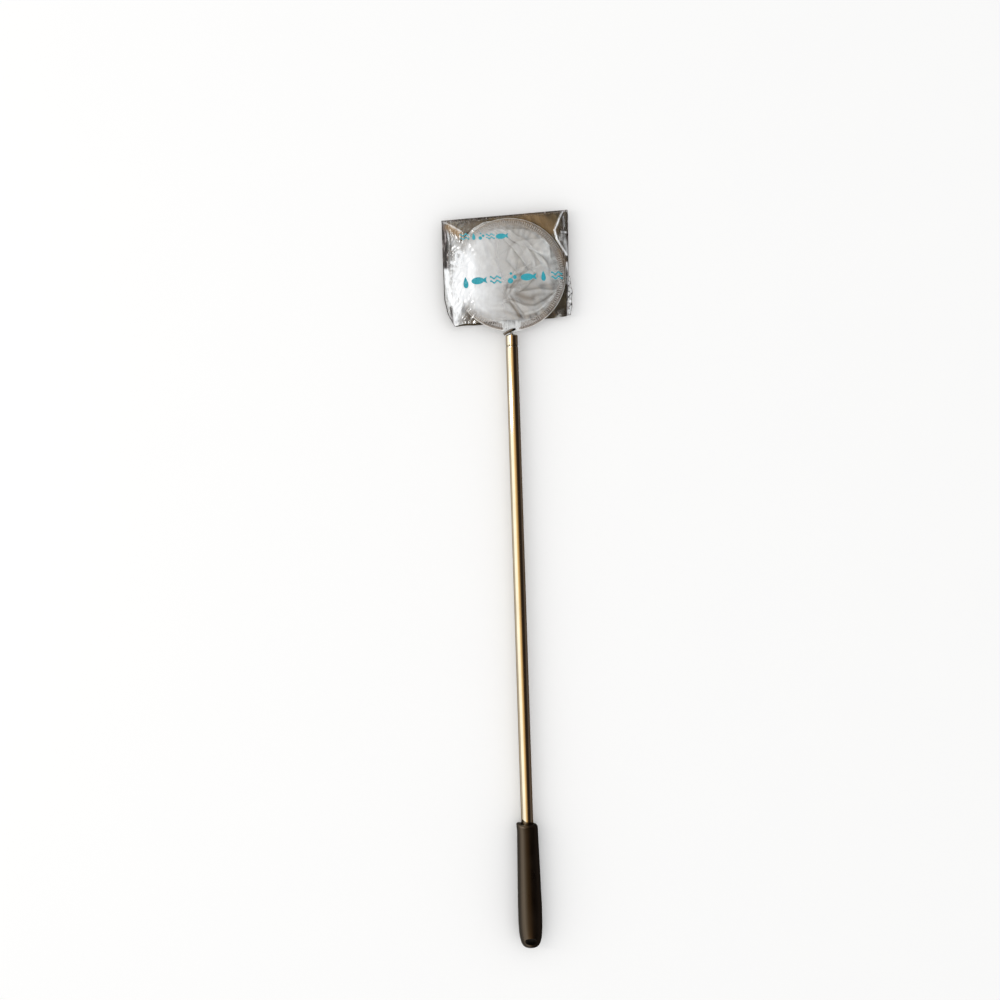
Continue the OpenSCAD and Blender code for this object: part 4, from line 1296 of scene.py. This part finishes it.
def film_row(t):
    """Places across, along and above the sleeve, once round it at one place along it."""
    s = loop_share * half_width(loop_share, t)
    mouth = np.clip((-t - 27) / 4, 0, 1) ** 2
    along = t + 0.5 * mouth * crinkle(s, 0, 9, 0.3, 1, 2)
    if t > SLEEVE_UP - SEAL:
        flat = np.where(np.arange(loop) < FRONT, -BACK_HIGH, BACK_HIGH)
        return s, along, flat + 0.07 * np.sin(s * RIBS)
    front = front_height(s[:FRONT], along[:FRONT]) + 0.35 * mouth
    back = -sleeve_height(s[FRONT:], along[FRONT:]) * 0.985
    back += 0.25 * crinkle(s[FRONT:], along[FRONT:], 8, 1.1, 1.5, 2.7) * (np.abs(back) > 1.2)
    return s, along, np.concatenate([front, np.clip(back, BACK_LOW, BACK_HIGH)])


def row_marks(s, t, sealed):
    """Painted glare, painted shade, bronze, and painted sheen on the front and clearness on the back, of one
    row.
    """
    glare_marks, dark, bronze = (sum(stroke(s, t, *line) for line in lines) for lines in (GLARE_STROKES, SHADE_STROKES, BRONZE))
    # Painted glare, a little more toward the left, and on the seal's ribs
    glare_marks = glare_marks + 0.10 * np.clip((-s - 8) / 20, 0, 1) + 0.10 * sealed * (np.sin(s * RIBS) > 0.4)
    # Painted shade where the film turns over at its two sides
    dark = np.where(np.abs(s) / half_width(s, t) > 0.988, 1.2, dark).clip(0, 1)
    from_hoop = np.hypot(s, t)
    # Painted sheen inside the hoop, brightest toward the left where the light comes from, and a faint patch;
    # on the back, how clear the film is
    glare_and_clearness = np.clip((38 - from_hoop) / 9, 0, 1) * (0.02 + 0.66 * np.clip((5 - s) / 30, 0, 1))
    glare_and_clearness += 0.17 * np.exp(-((s + 17) ** 2 + (t + 11) ** 2) / 110)
    glare_and_clearness += 0.30 * np.clip((-29 - s) / 5, 0, 1) * np.clip((24 - t) / 12, 0, 1)
    glare_and_clearness[FRONT:] = np.clip((37 - from_hoop[FRONT:]) / 24, 0, 1)
    return np.stack([glare_marks, dark, bronze, glare_and_clearness * (1 - dark)], axis=-1).clip(0, 1)


points, marks = [], []
for t in np.linspace(-SLEEVE_DOWN, SLEEVE_UP, ROWS):
    s, along, z = film_row(t)
    points.append(from_sleeve(s, along, z))
    marks.append(row_marks(s, along, t > SLEEVE_UP - SEAL))
faces = grid_faces(ROWS, loop)
sleeve = new_piece("clear_film", np.concatenate(points), faces, clear_film, "sleeve",
                   ["clear_sleeve"])
sleeve.data.materials.append(smoky_film)
behind = [int(FRONT - 1 <= k % loop) for k in range(len(faces))]
sleeve.data.polygons.foreach_set("material_index", behind)
paint(sleeve, "film_marks", np.concatenate(marks))

# %% [markdown]
# The film also has a loose flap at its lower right, where the side seam has come open and the
# thin film curls away from the fold.

# %% Film flap
FLAP_ROWS, FLAP_COLS, FLAP_FROM, FLAP_RUN, FLAP_REACH = 70, 14, -30.6, 29.5, 3.6
points, marks = [], []
for share in np.linspace(0, 1, FLAP_ROWS):
    t = FLAP_FROM + FLAP_RUN * share
    root = half_width(1, t) - 0.5
    reach = FLAP_REACH * math.sin(math.pi * min(1, share * 0.62 + 0.30)) ** 0.7 * (1 - share ** 6)
    for out in np.linspace(0, 1, FLAP_COLS):
        ripple = 0.5 * math.sin(t * 0.9 + 1.2) + 0.3 * math.sin(t * 2.1)
        points.append(from_sleeve(root + out * (reach + 0.3 * math.sin(t * 0.7)), t + 0.5 * out,
                                  -0.6 + out * (1.2 + ripple) + 0.8 * math.sin(out * 5)))
        # Painted glare in patches along the flap, and painted shade along its outer edge and its folds
        fold_shade = max(0, math.sin(t * 1.7 + 5 * out)) ** 5 + max(0, math.sin(t * 0.9 - 3 * out)) ** 8
        edge = 0.8 * (out > 0.9) + 0.5 * math.exp(-((out - 0.4) / 0.08) ** 2) + 0.7 * fold_shade
        marks.append((0.2 + 0.6 * max(0, math.sin(t * 1.1)) ** 4, edge, 0.0, 0.12))
flap = new_piece("film_flap", points, grid_faces(FLAP_ROWS, FLAP_COLS, wrap_cols=False), clear_film,
                 "sleeve")
paint(flap, "film_marks", marks)

# %% [markdown]
# ## Printed marks
# Such sleeves are printed in one colour on the front. The print here is made of plain motifs
# that suit an aquarium: small fish, bubbles, drops and waves. Each is a flat shape laid on the
# film, about a tenth of a millimetre above it.

# %% Ink
ink_teal, tree, coords = new_material("ink_teal")
speckle = grain(tree, coords, 0.7, 4.0)
tone = blend_colours(tree, remap(tree, speckle, 0.3, 0.75), (0.006, 0.25, 0.34), (0.03, 0.47, 0.56))
show(tree, shader(tree, "Principled", {
    "Base Color": tone, "Roughness": 0.35, "Normal": bump(tree, speckle, 0.02, 0.4),
}))


# %% Motifs, each about one unit across
def fish_motif():
    a = np.linspace(0.42, 2 * math.pi - 0.42, 30)
    body = [(0.5 * math.cos(v) - 0.12, 0.27 * math.sin(v)) for v in a]
    return [[(0.62, 0.26)] + body + [(0.62, -0.26), (0.52, 0.0)]]


def drop_motif():
    a = np.linspace(0, 2 * math.pi, 28, endpoint=False)
    return [[(0.27 * math.sin(v) * math.sin(v / 2) ** 1.2, 0.45 * math.cos(v)) for v in a]]


def bubble_motif():
    a = np.linspace(0, 2 * math.pi, 20, endpoint=False)
    return [[(x + r * math.cos(v), y + r * math.sin(v)) for v in a]
            for x, y, r in ((-0.16, -0.2, 0.21), (0.2, 0.05, 0.15), (-0.08, 0.34, 0.10))]


def wave_motif():
    x = np.linspace(-0.5, 0.5, 24)
    waves = []
    for y in (-0.2, 0.18):
        middle = [(v, y + 0.1 * math.sin(v * 11)) for v in x]
        waves.append([(v, w + 0.075) for v, w in middle] + [(v, w - 0.075) for v, w in middle[::-1]])
    return waves


# %% Marks on the film
MARK_STEP, MARK_LIFT = 0.8, 0.12


def filled(outline):
    """Small triangles that fill a flat outline, all facing up."""
    low, high = outline.min(axis=0), outline.max(axis=0)
    inner = [(x, y) for x in np.arange(low[0] + MARK_STEP / 2, high[0], MARK_STEP)
             for y in np.arange(low[1] + MARK_STEP / 2, high[1], MARK_STEP)]
    n = len(outline)
    corners, _, faces, *_ = delaunay_2d_cdt(
        [Vector(p) for p in (*outline, *inner)], [(k, (k + 1) % n) for k in range(n)], [], 1, 1e-4)
    used = sorted({k for face in faces for k in face})
    return [corners[k] for k in used], [[used.index(k) for k in face] for face in faces]


def print_marks(name, placed):
    """Lays motifs on the front film. placed holds (motif, across, along, size)."""
    flat, faces = [], []
    for motif, s, t, size in placed:
        for outline in motif():
            corners, inside = filled(np.array(outline) * size + (s, t))
            faces += [[k + len(flat) for k in face] for face in inside]
            flat += corners
    flat = np.array(flat)
    on_film = from_sleeve(flat[:, 0], flat[:, 1], front_height(flat[:, 0], flat[:, 1]) + MARK_LIFT)
    mesh = bpy.data.meshes.new(name)
    mesh.from_pydata([where * MM for where in on_film], [], faces)
    mesh.materials.append(ink_teal)
    join_frame(add_object(name, mesh), "sleeve")


print_marks("print_small", [
    (wave_motif, -27.6, 26.9, 6.2), (drop_motif, -21.6, 26.4, 5.4), (bubble_motif, -16.4, 26.0, 5.6),
    (wave_motif, -10.6, 25.5, 5.6), (fish_motif, -2.9, 24.9, 6.8),
])
print_marks("print_large", [
    (drop_motif, -29.4, -3.6, 8.2), (fish_motif, -20.4, -3.2, 8.4), (wave_motif, -9.6, -3.4, 7.4),
    (bubble_motif, 1.4, -3.4, 8.6), (fish_motif, 12.2, -3.6, 8.6), (drop_motif, 22.0, -3.6, 7.6),
    (wave_motif, 31.0, -3.8, 7.4),
])

# %% [markdown]
# ## Pieces inside the tubes
# The bushes, springs, ferrules, plug and socket are the CAD's own solids. They show only when
# the handle is drawn out or taken apart, but each still gets the finish of what it is made of.


# %% Finishes for the inner pieces
def plain_finish(name, light, dark, metallic, rough, size, depth, stretch=(1, 1, 1)):
    """A moulded or turned finish: two shades of one colour, and a fine relief."""
    material, tree, coords = new_material(name)
    spots = grain(tree, coords, size, 4.0, stretch)
    stain = grain(tree, coords, size * 9, 3.0)
    tone = blend_colours(tree, remap(tree, stain, 0.3, 0.7), light, dark)
    show(tree, shader(tree, "Principled", {
        "Base Color": tone, "Metallic": metallic,
        "Roughness": remap(tree, stain, 0.3, 0.7, rough, rough * 1.5),
        "Normal": bump(tree, spots, depth, 0.5),
    }))
    return material


plug = plain_finish("plug_plastic", (0.05, 0.05, 0.055), (0.03, 0.03, 0.033),
                    metallic=0.0, rough=0.45, size=0.5, depth=0.02)
bush = plain_finish("bush_plastic", (0.80, 0.78, 0.70), (0.70, 0.66, 0.55),
                    metallic=0.0, rough=0.4, size=0.5, depth=0.015)
spring = plain_finish("spring_bronze", (0.62, 0.40, 0.18), (0.42, 0.24, 0.10),
                      metallic=1.0, rough=0.24, size=0.3, depth=0.01, stretch=(1, 0.05, 1))
ferrule = plain_finish("ferrule_brass", (0.85, 0.66, 0.32), (0.66, 0.48, 0.2),
                       metallic=1.0, rough=0.2, size=0.2, depth=0.012, stretch=(0.08, 1, 0.08))
finishes = {
    "tube_end_plug": plug, "tang_socket": socket_steel,
    "outer_guide_bush": bush, "middle_guide_bush": bush,
    "middle_friction_spring": spring, "inner_friction_spring": spring,
    "middle_foot_ferrule": ferrule, "inner_foot_ferrule": ferrule,
}
for node, material in finishes.items():
    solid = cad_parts[node]
    for slot in solid.material_slots:
        slot.link, slot.material = "OBJECT", material
    if not solid.material_slots:
        solid.data.materials.append(material)
print("finished inside pieces:", len(finishes))
